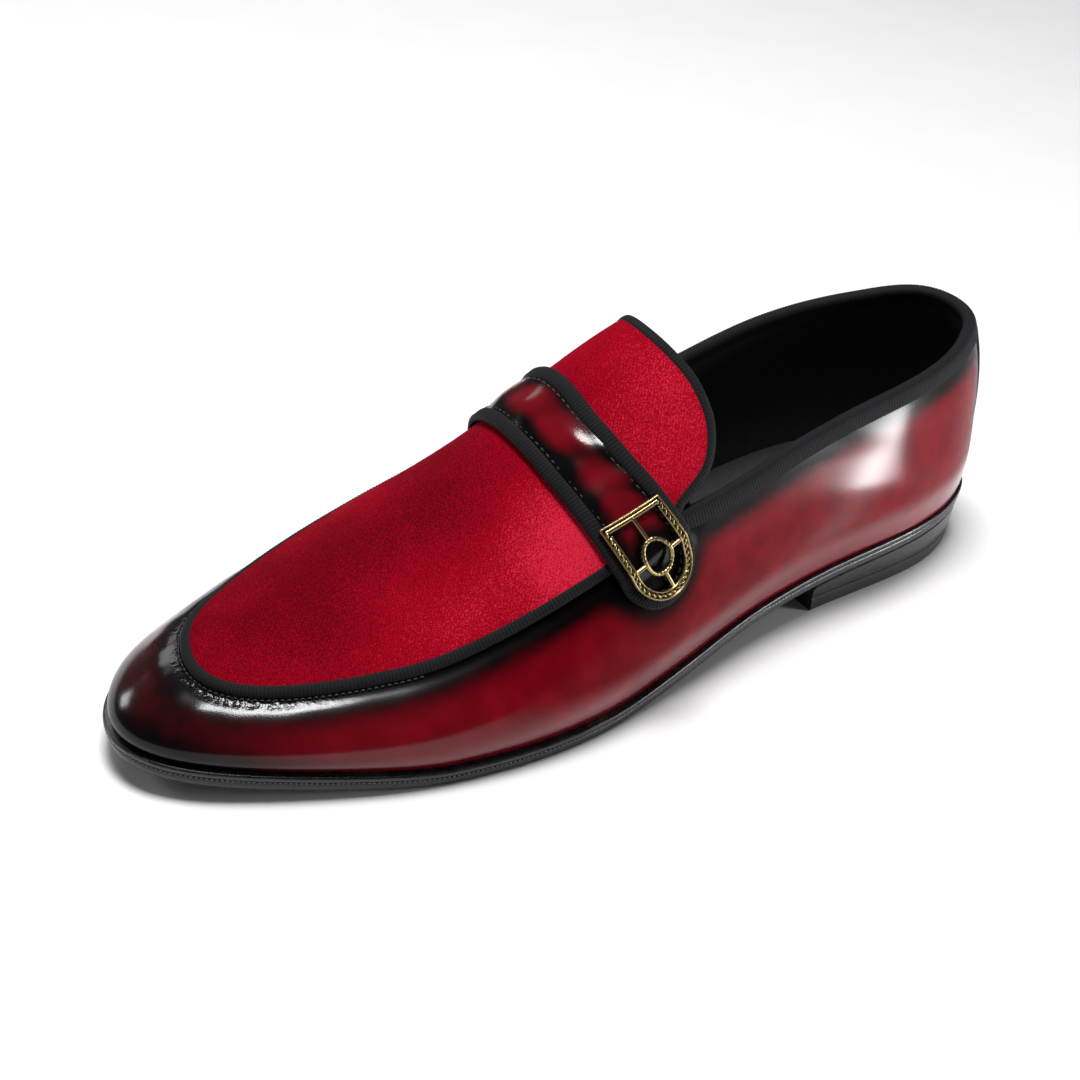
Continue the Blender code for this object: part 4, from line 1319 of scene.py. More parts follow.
def polish_on_upper(places, turn, run):
    """How full the clear polish is at each point of the upper, 0 to 1."""
    x = places[..., 0]
    over_band = soft_step((run - POLISHED_BAND) / BAND_FADE)
    behind_toe = soft_step((TOE_FADE[1] - x) / (TOE_FADE[1] - TOE_FADE[0]))
    on_quarter = soft_step((QUARTER_FADE[1] - x) / (QUARTER_FADE[1] - QUARTER_FADE[0]))
    polish = 1.0 - (DULL_VAMP - LESS_DULL_QUARTER * on_quarter) * over_band * behind_toe
    polish += (1.0 - polish) * RUBBED * rubbed_stripe(x, turn, run)
    low_toe = fading(run, LOW_TOE) * soft_step((x - LOW_TOE_FROM) / LOW_TOE_FADE)
    return polish * (1.0 - LOW_TOE_LESS * low_toe)


print("Polish on the vamp:", round(1.0 - DULL_VAMP, 2), "of that at the toe")

# %% Where the seam gathers the leather
GATHERED_TOE = 0.62
TOE_SPAN = 0.25
GATHER_FROM_SEAM = 1.6 * MM
GATHER_WIDE = 3.0 * MM
ROLL_FROM_SEAM = 8.0 * MM
ROLL_WIDE = 3.6 * MM
ROLL_HIGH = 0.42 * MM
DIP_FROM_SEAM = 1.2 * MM
DIP_WIDE = 2.6 * MM
DIP_DEEP = 0.40 * MM


def seam_relief(turn, run):
    """How much the needle gathers the leather, and how it dips at the seam and rolls beside."""
    to_seam = seam_run(turn) - run
    at_toe = soft_step((-np.cos(turn) - GATHERED_TOE) / TOE_SPAN)
    gather = at_toe * soft_step(1.0 - np.abs(to_seam - GATHER_FROM_SEAM) / GATHER_WIDE)
    uneven = 0.8 + 0.2 * np.sin(turn * 31.0) * np.sin(turn * 13.0 + 1.0)
    roll = uneven * ROLL_HIGH * np.exp(-((to_seam - ROLL_FROM_SEAM) / ROLL_WIDE) ** 2)
    dip = DIP_DEEP * np.exp(-((to_seam - DIP_FROM_SEAM) / DIP_WIDE) ** 2)
    return gather, (past_opening(turn) > 0.0) * (roll - dip)


print("The leather rolls up by", round(ROLL_HIGH / MM, 2), "mm beside the seam")

# %% Making the leather upper
UPPER_RIBS = 640
UPPER_STEPS = 84
CLOSER_AT_ENDS = 0.13


def ribs_round(count):
    """Turns round the last, closer together at heel and toe, where it bends most."""
    turns = np.arange(count) * 2.0 * math.pi / count
    return turns - CLOSER_AT_ENDS * np.sin(2.0 * turns)


def make_upper():
    """The skin of calf: a grid of ribs with its relief, its wax and painted shade, and its polish."""
    turns = ribs_round(UPPER_RIBS)
    up = np.linspace(0.0, 1.0, UPPER_STEPS) ** 0.9
    turn = np.repeat(turns[:, None], UPPER_STEPS, axis=1)
    run = up[None, :] * leather_reach(turns)[:, None]
    gather, relief = seam_relief(turn, run)
    places, _ = on_last(turn, run, creases(turn, run) + relief)
    marks = {
        "burnish_and_shade": burnish_and_shade_on_upper(places, turn, run),
        "gather": gather,
        "polish": polish_on_upper(places, turn, run),
    }
    faces = grid_faces(UPPER_RIBS, UPPER_STEPS, closed_rows=True)[:, ::-1]
    add_piece("leather_upper", places, faces, upper_calf, ["upper"], marks)


make_upper()

# %% [markdown]
# ## The lining
# Inside, a thin black leather lines the wall, as in any welted shoe. A Solidify modifier could
# make it from the upper, but the lining reaches other edges, so it is a second skin, one wall
# thickness in. The part behind ends at the topline, and the part ahead runs over the ridge
# under the plug.

# %% Making the lining
LINING_BELOW_TOPLINE = 0.6 * MM
LINING_OVERLAP = 0.02


def make_lining():
    """Two sheets inside the wall, behind and ahead of the opening's end."""
    up = np.linspace(0.0, 1.0, 44)[None, :]
    behind = np.linspace(INNER_FRONT, OUTER_FRONT, 260)
    run = (topline_run(behind) - LINING_BELOW_TOPLINE)[:, None] * up
    quarter, _ = on_last(behind[:, None], run, -WALL)
    ahead_end = 2.0 * math.pi + INNER_FRONT + LINING_OVERLAP
    ahead = np.linspace(OUTER_FRONT - LINING_OVERLAP, ahead_end, 300)
    vamp, _ = on_last(ahead[:, None], rib_end(ahead)[:, None] * up, -WALL)
    first = grid_faces(*quarter.shape[:2])
    second = grid_faces(*vamp.shape[:2]) + quarter.shape[0] * quarter.shape[1]
    points = np.concatenate([quarter.reshape(-1, 3), vamp.reshape(-1, 3)])
    add_piece("lining", points, np.concatenate([first, second]), lining)


make_lining()

# %% [markdown]
# ## The velvet plug and tongue
# One panel of velvet covers the vamp and runs on, under the strap, as the tongue. It could be
# cut with a boolean along its edge, but that leaves ragged faces. Here, cells of a fine grid
# are kept where they lie inside the edge drawn from the side, and the ribbon hides their
# stepped border. The tongue has a lining below.

# %% The tongue's edge
TONGUE_EDGE = side_curve(TONGUE, 16)


def inside_edge(x, z, edge, inset):
    """Whether points lie in front of an edge that is drawn from the side."""
    along = unit(np.gradient(edge, axis=0))
    moved = edge + np.stack([along[:, 1], -along[:, 0]], axis=-1) * inset
    order = np.argsort(moved[:, 1])
    return x > np.interp(z, moved[order, 1], moved[order, 0])


print("Tongue's edge:", len(TONGUE_EDGE), "points")

# %% Where painted sheen and shade lie on the velvet
# Share of LENGTH from the heel, side from -1 inner to 1 outer, reach along and across, and how
# much brighter
NAP_SHEEN_AND_SHADE = [
    (0.570, 0.85, 24 * MM, 18 * MM, 0.36),
    (0.68, 0.80, 36 * MM, 12 * MM, 0.22),
    (0.46, 0.35, 17 * MM, 15 * MM, 0.30),
    (0.88, -0.1, 40 * MM, 40 * MM, -0.22),
    (0.66, -0.35, 30 * MM, 18 * MM, -0.12),
    (0.62, -0.6, 50 * MM, 26 * MM, -0.08),
]
EVEN_NAP_SHEEN = 0.42
VAMP_HALF = 36 * MM


def sheen_and_shade_on_velvet(places):
    """How bright the velvet is painted at each point, 0 to 1: painted sheen and shade."""
    value = np.full(places.shape[:-1], EVEN_NAP_SHEEN)
    for at, side, along, across, amount in NAP_SHEEN_AND_SHADE:
        u = (places[..., 0] - (at - 0.5) * LENGTH) / along
        v = (places[..., 1] - side * VAMP_HALF) / across
        value += amount * np.exp(-(u ** 2 + v ** 2))
    return value


print("Patches of nap:", len(NAP_SHEEN_AND_SHADE))

# %% Making the velvet
VELVET_START = OUTER_FRONT - 0.42
VELVET_TOP = 1.15 * MM
VELVET_OVER_SEAM = 1.5 * MM
VELVET_INSIDE_TONGUE = 1.5 * MM
VELVET_ROUNDING = 2.5 * MM
TONGUE_UNDER = -0.9 * MM
TONGUE_FREE = 8.0 * MM


def make_velvet():
    """The panel with its rounded edge, and the lining below the part that stands free."""
    turns = np.linspace(VELVET_START, 2.0 * math.pi - VELVET_START, 560)
    up = np.linspace(0.0, 1.0, 72)
    low = (seam_run(turns) + VELVET_OVER_SEAM)[:, None]
    run = low + (rib_end(turns)[:, None] - low) * up[None, :]
    places, normals = on_last(np.repeat(turns[:, None], len(up), axis=1), run)
    pad = VELVET_TOP * soft_step((run - low) / VELVET_ROUNDING + 0.6)
    x, z = places[..., 0], places[..., 2]
    faces = grid_faces(*places.shape[:2])
    inside = inside_edge(x, z, TONGUE_EDGE, VELVET_INSIDE_TONGUE).reshape(-1)
    kept = faces[inside[faces].all(axis=1)]
    add_piece(
        "velvet_plug_and_tongue", places + normals * pad[..., None], kept[:, ::-1],
        plug_velvet, ["velvet_plug"], {"nap_sheen_and_shade": sheen_and_shade_on_velvet(places)},
    )
    free = (x < TONGUE_FREE).reshape(-1)
    lined = kept[free[kept].all(axis=1)]
    add_piece("tongue_lining", places + normals * TONGUE_UNDER, lined, lining)


make_velvet()

# %% [markdown]
# ## Ribbons
# Each edge of the shoe is bound with grosgrain, folded over it and sewn. A curve with a bevel
# profile could make a ribbon, but it twists as it bends. Each ribbon here is a closed profile,
# swept along its path: a distance across the ribbon and a height over the last. Every fourth
# point of the path is the bottom of a groove between two ribs of the weave, so the ribs are
# real form and catch the light.
# The grooves are also darkened in the colour, as painted shade.

# %% Sweeping a ribbon
RIB_PITCH = 1.05 * MM
RIB_DEPTH = 0.19 * MM
RIB_POINTS = 4
STEP = RIB_PITCH / RIB_POINTS
GROOVE_SHADE = 0.85


def rib_wave(count):
    """The ribs along a path: 0 on top of a rib, 1 in the groove between two."""
    return 0.5 - 0.5 * np.cos(2.0 * math.pi * np.arange(count) / RIB_POINTS)


def sweep_ribbon(name, path, closed, inside, profile, node, rest=None, all_ribbed=False):
    """A ribbed ribbon along a path, with a profile of distance across and height."""
    places, _, across = path_frame(path, closed, inside)
    wave = rib_wave(len(path))
    low = min(height for _, height in profile)
    high = max(height for _, height in profile)
    rows = []
    for aside, height in profile:
        turn, run = settle(places + across * aside)
        base, normal = on_last(turn, run)
        lift = height + (rest(turn, run) if rest else 0.0)
        # Ribs are deepest on the two faces, and fade out on the folded edges between them
        share = (height - low) / (high - low)
        deep = RIB_DEPTH if all_ribbed else RIB_DEPTH * 2.0 * abs(share - 0.5)
        deep = deep if share > 0.5 else -deep
        rows.append(base + normal * (lift - deep * wave)[:, None])
    # The grooves are darkened in the colour: painted shade
    groove = np.repeat(GROOVE_SHADE * wave[:, None], len(profile), axis=1)
    faces = tube_faces(len(path), len(profile), closed)
    points = np.stack(rows, axis=1)
    add_piece(name, points, faces, grosgrain, [node], {"groove": groove}, outward=True)


print("Ribs of the ribbons, mm apart:", round(RIB_PITCH / MM, 2))

# %% [markdown]
# ### Plug ribbon
# The plug's ribbon covers the seam between velvet and leather, and goes on round the tongue's
# edge, which it folds over. It could be two ribbons that meet, but on the shoe it is one, so
# the seam and the tongue's edge are joined to one closed path.


# %% Path of the plug ribbon
def plug_path():
    """The seam round the toe, then up and over the tongue's edge, as one closed path."""
    edge = side_curve(TONGUE, 60)
    outer = seen_from_side(edge, 1)
    inner = seen_from_side(edge, -1)
    outer = outer[outer[:, 1] > seam_run(outer[:, 0])]
    inner = inner[inner[:, 1] > seam_run(inner[:, 0])]
    turns = np.linspace(outer[0, 0], inner[0, 0], 1600)
    seam = np.stack([turns, seam_run(turns)], axis=-1)
    route = np.concatenate([seam, inner, outer[::-1]])
    places, _ = on_last(route[:, 0], route[:, 1])
    return even_path(places, STEP, closed=True, smooth=1.1 * MM)


PLUG_PATH = plug_path()
print("Plug ribbon:", len(PLUG_PATH) // RIB_POINTS, "ribs")

# %% Making the plug ribbon
PLUG_MIDDLE = np.array([30 * MM, 0.0, 55 * MM])
PLUG_PROFILE = [
    (0.0, 0.1 * MM),
    (0.05 * MM, 0.8 * MM),
    (0.5 * MM, 1.35 * MM),
    (1.2 * MM, 1.55 * MM),
    (PLUG_RIBBON_WIDTH - 1.2 * MM, 1.55 * MM),
    (PLUG_RIBBON_WIDTH - 0.5 * MM, 1.4 * MM),
    (PLUG_RIBBON_WIDTH, 0.9 * MM),
    (PLUG_RIBBON_WIDTH, -0.7 * MM),
    (PLUG_RIBBON_WIDTH - 0.6 * MM, -1.3 * MM),
    (0.6 * MM, -1.3 * MM),
    (0.05 * MM, -0.6 * MM),
]
sweep_ribbon("plug_ribbon_sewn", PLUG_PATH, True, PLUG_MIDDLE, PLUG_PROFILE, "plug_ribbon")

# %% [markdown]
# ### Topline ribbon
# The collar's edge is bound all round the opening, with the ribbon folded over it from outside
# to inside. A bevel would round the edge but show no fold, so the profile goes over the wall
# and down the lining, and its two ends tuck under the tongue.


# %% Path of the topline ribbon
def topline_path():
    """The opening's edge, from under the tongue round the heel to under the tongue."""
    turns = np.linspace(INNER_FRONT - 0.06, OUTER_FRONT + 0.06, 2600)
    places, _ = on_last(turns, topline_run(turns))
    return even_path(places, STEP, smooth=1.5 * MM)


TOPLINE_PATH = topline_path()
print("Topline ribbon:", len(TOPLINE_PATH) // RIB_POINTS, "ribs")

# %% Making the topline ribbon
OPENING_LOW = np.array([-70 * MM, 0.0, -300 * MM])
TOPLINE_PROFILE = [
    (TOPLINE_RIBBON_WIDTH, 0.1 * MM),
    (TOPLINE_RIBBON_WIDTH - 0.1 * MM, 0.75 * MM),
    (TOPLINE_RIBBON_WIDTH - 0.6 * MM, 1.1 * MM),
    (0.8 * MM, 1.15 * MM),
    (-0.4 * MM, 0.8 * MM),
    (-1.0 * MM, 0.1 * MM),
    (-1.15 * MM, -1.0 * MM),
    (-1.0 * MM, -2.1 * MM),
    (-0.4 * MM, -2.8 * MM),
    (0.8 * MM, -3.15 * MM),
    (TOPLINE_RIBBON_WIDTH - 0.6 * MM, -3.1 * MM),
    (TOPLINE_RIBBON_WIDTH, -2.3 * MM),
]
sweep_ribbon(
    "topline_ribbon_folded", TOPLINE_PATH, False, OPENING_LOW, TOPLINE_PROFILE,
    "topline_ribbon", all_ribbed=True,
)

# %% [markdown]
# ## The strap
# The strap is calf that has been drawn tight by hand over the plug, so it puckers. Cloth
# simulation could pucker it, but would also shift it. So a few soft ridges and hollows are
# placed along it, and its gloss breaks up on them. The leather is laid in lines across the
# foot, from its square inner end, over the ridge, to its round outer end.

# %% Puckers of the strap
# Share of the way along, share across from -1 back to 1 front, length along and width across,
# lean in radians, height
PUCKERS = [
    (0.560, -0.20, 7.0 * MM, 3.6 * MM, -0.30, 0.50 * MM),
    (0.592, -0.65, 7.0 * MM, 3.4 * MM, 1.20, 0.50 * MM),
    (0.600, 0.35, 7.5 * MM, 3.6 * MM, -1.00, 0.55 * MM),
    (0.640, -0.25, 8.0 * MM, 4.2 * MM, 1.40, -0.55 * MM),
    (0.672, -0.75, 6.0 * MM, 3.2 * MM, 1.30, 0.45 * MM),
    (0.690, 0.45, 8.0 * MM, 3.8 * MM, -0.90, 0.50 * MM),
    (0.730, 0.00, 9.0 * MM, 4.5 * MM, 1.40, -0.40 * MM),
    (0.782, 0.60, 6.0 * MM, 3.4 * MM, 0.60, 0.40 * MM),
    (0.400, 0.30, 8.0 * MM, 4.2 * MM, 1.20, 0.45 * MM),
    (0.330, -0.25, 8.0 * MM, 4.4 * MM, -1.10, -0.45 * MM),
    (0.260, 0.20, 8.0 * MM, 4.0 * MM, 1.30, 0.45 * MM),
    (0.160, -0.20, 9.0 * MM, 4.4 * MM, 1.10, -0.40 * MM),
]


def strap_puckers(along, across, length):
    """Height of the ridges and hollows, for shares along and across a strap of that length."""
    pucker = np.zeros_like(along)
    for at, side, long, wide, lean, height in PUCKERS:
        u = (along - at) * length
        v = (across - side) * STRAP_WIDTH / 2
        far = ((u * math.cos(lean) + v * math.sin(lean)) / long) ** 2
        far += ((v * math.cos(lean) - u * math.sin(lean)) / wide) ** 2
        pucker += height * np.exp(-far)
    return pucker


print("Puckers:", len(PUCKERS))

# %% Wax and painted shade on the strap
# Dark bands across its red: share of the way along, half breadth, and how dark
STRAP_DARK = [
    (0.425, 0.030, 0.25),
    (0.585, 0.035, 0.55),
    (0.690, 0.020, 0.30),
    (0.290, 0.035, 0.50),
]
BAND_LEAN = 0.03


def burnish_and_shade_on_strap(along, across):
    """How black the strap is: painted shade at its edges and under the badge, wax at the inner end and
    in bands.
    """
    # The red stays along the middle, from an eighth to three quarters of the way
    # Painted shade darkens its edges under the ribbon and its end under the badge
    burnish_and_shade = 0.10 + 0.90 * soft_step((np.abs(across + 0.10) - 0.15) / 0.75)
    burnish_and_shade = np.maximum(burnish_and_shade, soft_step((along - 0.76) / 0.10))
    burnish_and_shade = np.maximum(burnish_and_shade, soft_step((0.12 - along) / 0.08))
    dark = np.zeros_like(along)
    for at, reach, amount in STRAP_DARK:
        off = along - (at - BAND_LEAN * across)
        dark = np.maximum(dark, amount * np.exp(-(off / reach) ** 2))
    return np.clip(burnish_and_shade + dark, 0.0, 1.0)


print("Dark bands:", len(STRAP_DARK))

# %% Lines along the strap
STRAP_LINES = 25
STRAP_POINTS = 300
UNDER_STRAP_RIBBON = 2.2 * MM
UNDER_INNER_RIBBON = 2.0 * MM


def strap_lines():
    """Lines along the strap's leather as points on the last, each with the same count."""
    half = STRAP_WIDTH / 2 - UNDER_STRAP_RIBBON
    round_end = STRAP_END - UNDER_STRAP_RIBBON - ROUND_START
    swing = ROUND_START + round_end * np.sin(np.linspace(0.0, math.pi / 2, 60))
    ats = np.concatenate([np.linspace(0.0, ROUND_START, 300)[:-1], swing])
    past = np.clip((ats - ROUND_START) / half, 0.0, 1.0)
    widths = half * np.sqrt(1.0 - past ** 2)
    inner_ats = np.linspace(0.0, STRAP_END - STRAP_INNER_END - UNDER_INNER_RIBBON, 260)
    lines = []
    for share in np.linspace(-1.0, 1.0, STRAP_LINES):
        outer = seen_from_side([strap_place(a, share * w) for a, w in zip(ats, widths)], 1)
        inner = seen_from_side([strap_place(a, share * half) for a in inner_ats], -1)
        route = np.concatenate([inner[::-1], outer])
        places, _ = on_last(route[:, 0], route[:, 1])
        run = path_length(places, False)
        at = np.linspace(0.0, run[-1], STRAP_POINTS)
        lines.append(np.stack([np.interp(at, run, places[:, k]) for k in range(3)], axis=-1))
    return np.array(lines)


print("The strap's leather:", STRAP_LINES, "lines of", STRAP_POINTS, "points")

# %% Making the strap's leather
STRAP_SUNK = 0.2 * MM
STRAP_DOME = 0.5 * MM
BADGE_FROM = 0.80


def make_strap():
    """The strap's leather, smoothed along its lines, with its puckers, its wax and its painted shade."""
    lines = strap_lines()
    for _ in range(2):
        lines[:, 1:-1] = (lines[:, :-2] + 2 * lines[:, 1:-1] + lines[:, 2:]) / 4.0
    turn, run = settle(lines)
    length = float(np.mean([path_length(line, False)[-1] for line in lines]))
    across, along = np.meshgrid(
        np.linspace(-1.0, 1.0, STRAP_LINES), np.linspace(0.0, 1.0, STRAP_POINTS), indexing="ij"
    )
    # The leather is flat under the badge, and under the ribbon at its edges
    bare = 1.0 - soft_step((along - BADGE_FROM) / 0.05)
    inside = soft_step((1.0 - np.abs(across)) / 0.35)
    dome = STRAP_DOME * (1.0 - across ** 2) * bare
    relief = (strap_puckers(along, across, length) * inside + dome) * bare
    places, _ = on_last(turn, run, cover(turn, run) + STRAP - STRAP_SUNK + relief)
    marks = {"burnish_and_shade": burnish_and_shade_on_strap(along, across), "polish": np.ones_like(along)}
    faces = grid_faces(STRAP_LINES, STRAP_POINTS)
    add_piece("strap_leather", places, faces, strap_calf, ["strap"], marks)


make_strap()


# %% Path of the strap ribbon
def strap_path():
    """The strap's outline on the last, as one closed path."""
    outer = seen_from_side(round_ended(0.0, 0.0), 1)
    inner = seen_from_side(square_ended(0.0, 0.0), -1)
    route = np.concatenate([outer, inner[::-1]])
    places, _ = on_last(route[:, 0], route[:, 1])
    return even_path(places, STEP, closed=True, smooth=0.7 * MM)


STRAP_PATH = strap_path()
STRAP_CENTRE = np.mean(STRAP_PATH, axis=0)
print("Strap ribbon:", len(STRAP_PATH) // RIB_POINTS, "ribs")

# %% Making the strap ribbon
STRAP_PROFILE = [
    (0.0, 0.15 * MM),
    (-0.05 * MM, 1.2 * MM),
    (0.35 * MM, 1.8 * MM),
    (1.0 * MM, 2.05 * MM),
    (STRAP_RIBBON_WIDTH - 1.0 * MM, 2.05 * MM),
    (STRAP_RIBBON_WIDTH - 0.3 * MM, 1.85 * MM),
    (STRAP_RIBBON_WIDTH, 1.2 * MM),
    (STRAP_RIBBON_WIDTH, 0.15 * MM),
]
sweep_ribbon(
    "strap_ribbon_folded", STRAP_PATH, True, STRAP_CENTRE, STRAP_PROFILE,
    "strap_ribbon", rest=cover,
)

# %% [markdown]
# ## The strip over the back seam
# A seam closes the upper at the back of the heel, and a wider ribbon covers it from the
# topline ribbon to the sole. A bent box could stand for it, but ribs run across it, so it is
# a grid with four rows of points to a rib, a flat back and rounded edges.

# %% Size of the back strip
BREADTH_AT = 30 * MM


def back_half_turn():
    """The turn at which the last is half the strip's width from its middle, at mid height."""
    turns = np.linspace(0.0, 0.9, 60)
    places, _ = on_last(turns, BREADTH_AT)
    return float(np.interp(BACK_STRIP_WIDTH / 2, places[:, 1], turns))


BACK_TURN = back_half_turn()
print("The back strip reaches", round(math.degrees(BACK_TURN), 1), "degrees of turn to each side")

# %% Making the back strip
STRIP_COLUMNS = 40
STRIP_THICK = 1.2 * MM
STRIP_BEHIND = -0.3 * MM
STRIP_FROM = 0.4 * MM


def border(columns, rows):
    """The corners of a grid's border in their order, for a rim round it."""
    ring = list(range(rows))
    ring += [i * rows + rows - 1 for i in range(1, columns)]
    ring += [(columns - 1) * rows + n for n in range(rows - 2, -1, -1)]
    return ring + [i * rows for i in range(columns - 2, 0, -1)]


def make_back_strip():
    """A ribbed sheet with a flat back, and a rim between the two."""
    turns = np.linspace(-BACK_TURN, BACK_TURN, STRIP_COLUMNS)
    top = topline_run(turns) - TOPLINE_RIBBON_WIDTH - CLEARANCE
    rows = int(round(float(top.mean()) / STEP)) + 1
    up = np.linspace(0.0, 1.0, rows)
    run = STRIP_FROM + up[None, :] * (top - STRIP_FROM)[:, None]
    wave = rib_wave(rows)[None, :]
    side = np.abs(np.linspace(-1.0, 1.0, STRIP_COLUMNS))[:, None]
    rounding = np.sqrt(1.0 - soft_step((side - 0.90) / 0.10) ** 2 * 0.96)
    outer, _ = on_last(turns[:, None], run, STRIP_THICK * rounding - RIB_DEPTH * wave)
    inner, _ = on_last(turns[:, None], run, STRIP_BEHIND)
    sheet = grid_faces(STRIP_COLUMNS, rows)
    count = STRIP_COLUMNS * rows
    faces = sheet[:, ::-1].tolist() + (sheet + count).tolist()
    ring = border(STRIP_COLUMNS, rows)
    for before, corner in zip([ring[-1]] + ring, ring):
        faces.append([before, corner, corner + count, before + count])
    points = np.concatenate([outer.reshape(-1, 3), inner.reshape(-1, 3)])
    # The grooves are darkened in the colour: painted shade
    groove = np.tile(GROOVE_SHADE * wave, (2 * STRIP_COLUMNS, 1))
    add_piece(
        "back_strip_ribbed", points, faces, grosgrain, ["back_strip"],
        {"groove": groove},
    )


make_back_strip()

# %% [markdown]
# ## The badge
# The badge is an open casting: a straight bar towards the ridge, a thick rim with a rope twist
# round the outer end, and inside it a plain ring on four struts. The strap's leather, darkened
# there with painted shade, shows through. It could be modelled flat and bent with a modifier,
# but the strap bends two ways under it, so each bar is a tube laid on the strap, and the twist
# is in the tube's section.

# %% Laying tubes on the strap
BADGE_BASE = STRAP + STRAP_RIBBON + 0.3 * MM
BADGE_SIDES = 16
TUBE_STEP = 0.2 * MM
ROPE_PITCH = 1.7 * MM


def lay_tube(drawn, closed, half_width, half_height, twist=0.0, pitch=ROPE_PITCH):
    """Points of a tube along a path drawn from the outer side, its faces, and how deep each lies."""
    route = seen_from_side(drawn, 1)
    places, _ = on_last(route[:, 0], route[:, 1])
    path = even_path(places, TUBE_STEP, closed=closed, smooth=0.25 * MM)
    turn, run = settle(path)
    base, normals = on_last(turn, run, cover(turn, run) + BADGE_BASE)
    if closed:
        along = unit(np.roll(base, -1, axis=0) - np.roll(base, 1, axis=0))
    else:
        along = unit(np.gradient(base, axis=0))
    across = unit(np.cross(normals, along))
    angles = (np.arange(BADGE_SIDES) * 2.0 * math.pi / BADGE_SIDES)[None, :]
    run_on = (np.arange(len(path)) * TUBE_STEP)[:, None]
    strands = np.cos(2.0 * math.pi * run_on / pitch - 2.0 * angles)
    size = 1.0 + twist * strands
    wide = half_width * np.cos(angles) * size
    tall = half_height * (1.0 + np.sin(angles) * size)
    points = base[:, None] + across[:, None] * wide[..., None] + normals[:, None] * tall[..., None]
    depth = np.clip(0.5 - 0.5 * np.sin(angles) - twist * 2.2 * strands, 0.0, 1.0)
    return points.reshape(-1, 3), tube_faces(len(path), BADGE_SIDES, closed), depth.reshape(-1)


def join_tubes(tubes):
    """Tubes as one: their points, their faces and how deep each point lies."""
    points, faces, depths = [], [], []
    for tube, corners, depth in tubes:
        first = sum(len(part) for part in points)
        points.append(tube)
        faces += [[corner + first for corner in face] for face in corners]
        depths.append(depth)
    return np.concatenate(points), faces, np.concatenate(depths)


print("Badge, mm over the last:", round(BADGE_BASE / MM, 2))

# %% Rim and upper bar of the badge
# Bars from the outer lip in: inset, half width, half height, twist
RIM_BARS = [
    (0.40 * MM, 0.40 * MM, 0.85 * MM, 0.0),
    (1.30 * MM, 0.70 * MM, 0.62 * MM, 0.30),
    (2.25 * MM, 0.35 * MM, 0.75 * MM, 0.0),
]
UPPER_BARS = [(0.40 * MM, 0.40 * MM, 0.85 * MM), (1.30 * MM, 0.75 * MM, 0.60 * MM)]
BADGE_START = STRAP_END - BADGE_MARGIN - BADGE_LENGTH


def badge_outline(inset):
    """The badge's outline: a straight bar above and a round end below."""
    return round_ended(BADGE_START + inset, BADGE_MARGIN + inset)


def rim_tubes():
    """The bars round the outer end, then those straight across."""
    tubes = []
    for inset, wide, tall, twist in RIM_BARS:
        tubes.append(lay_tube(badge_outline(inset), False, wide, tall, twist=twist))
    for inset, wide, tall in UPPER_BARS:
        rim = badge_outline(inset)
        tubes.append(lay_tube(np.linspace(rim[-1], rim[0], 60), False, wide, tall))
    return tubes


print("Bars of the rim:", len(RIM_BARS) + len(UPPER_BARS))

# %% Ring and struts of the badge
RING = 4.3 * MM
RING_BAR = (0.70 * MM, 0.75 * MM)
RING_TWIST = 0.06
RING_PITCH = 1.1 * MM
STRUT = 0.65 * MM


def ring_tubes():
    """The plain ring in the middle, and four struts from it to the rim."""
    centre_at = BADGE_START + BADGE_LENGTH / 2
    middle = strap_place(centre_at)
    down = unit(strap_place(centre_at + MM) - middle)
    across = np.array([-down[1], down[0]])
    angles = np.linspace(0.0, 2.0 * math.pi, 120)[:-1, None]
    circle = middle + RING * (np.cos(angles) * down + np.sin(angles) * across)
    tubes = [lay_tube(circle, True, *RING_BAR, twist=RING_TWIST, pitch=RING_PITCH)]
    aside = STRAP_WIDTH / 2 - BADGE_MARGIN - BADGE_RIM * 0.7
    ends = [
        strap_place(BADGE_START + BADGE_RIM * 0.45),
        strap_place(STRAP_END - BADGE_MARGIN - BADGE_RIM * 0.7),
        strap_place(centre_at, aside),
        strap_place(centre_at, -aside),
    ]
    for end in ends:
        start = middle + unit(end - middle) * RING
        tubes.append(lay_tube(np.linspace(start, end, 40), False, STRUT, STRUT))
    return tubes


points, faces, depth = join_tubes(rim_tubes() + ring_tubes())
add_piece("cast_badge", points, faces, brass, ["badge"], {"groove": depth}, outward=True)

# %% [markdown]
# ## Stitches
# A row of fine black stitches holds each ribbon down. A texture could draw them, but real
# stitches stand up and catch the light at their middle. So each is a short thread, thick in the
# middle and sunk at both ends, beside the ribbon's edge. A whole row is one mesh.

# %% A row of stitches
THREAD_WIDTH = 0.5 * MM
STITCH = 1.9 * MM
STITCH_SPACE = 0.7 * MM
SUNK = np.array([-0.6, 0.0, 0.2, 0.0, -0.6])
GIRTH = np.array([0.5, 0.95, 1.0, 0.95, 0.5])
THREAD_SIDES = 6


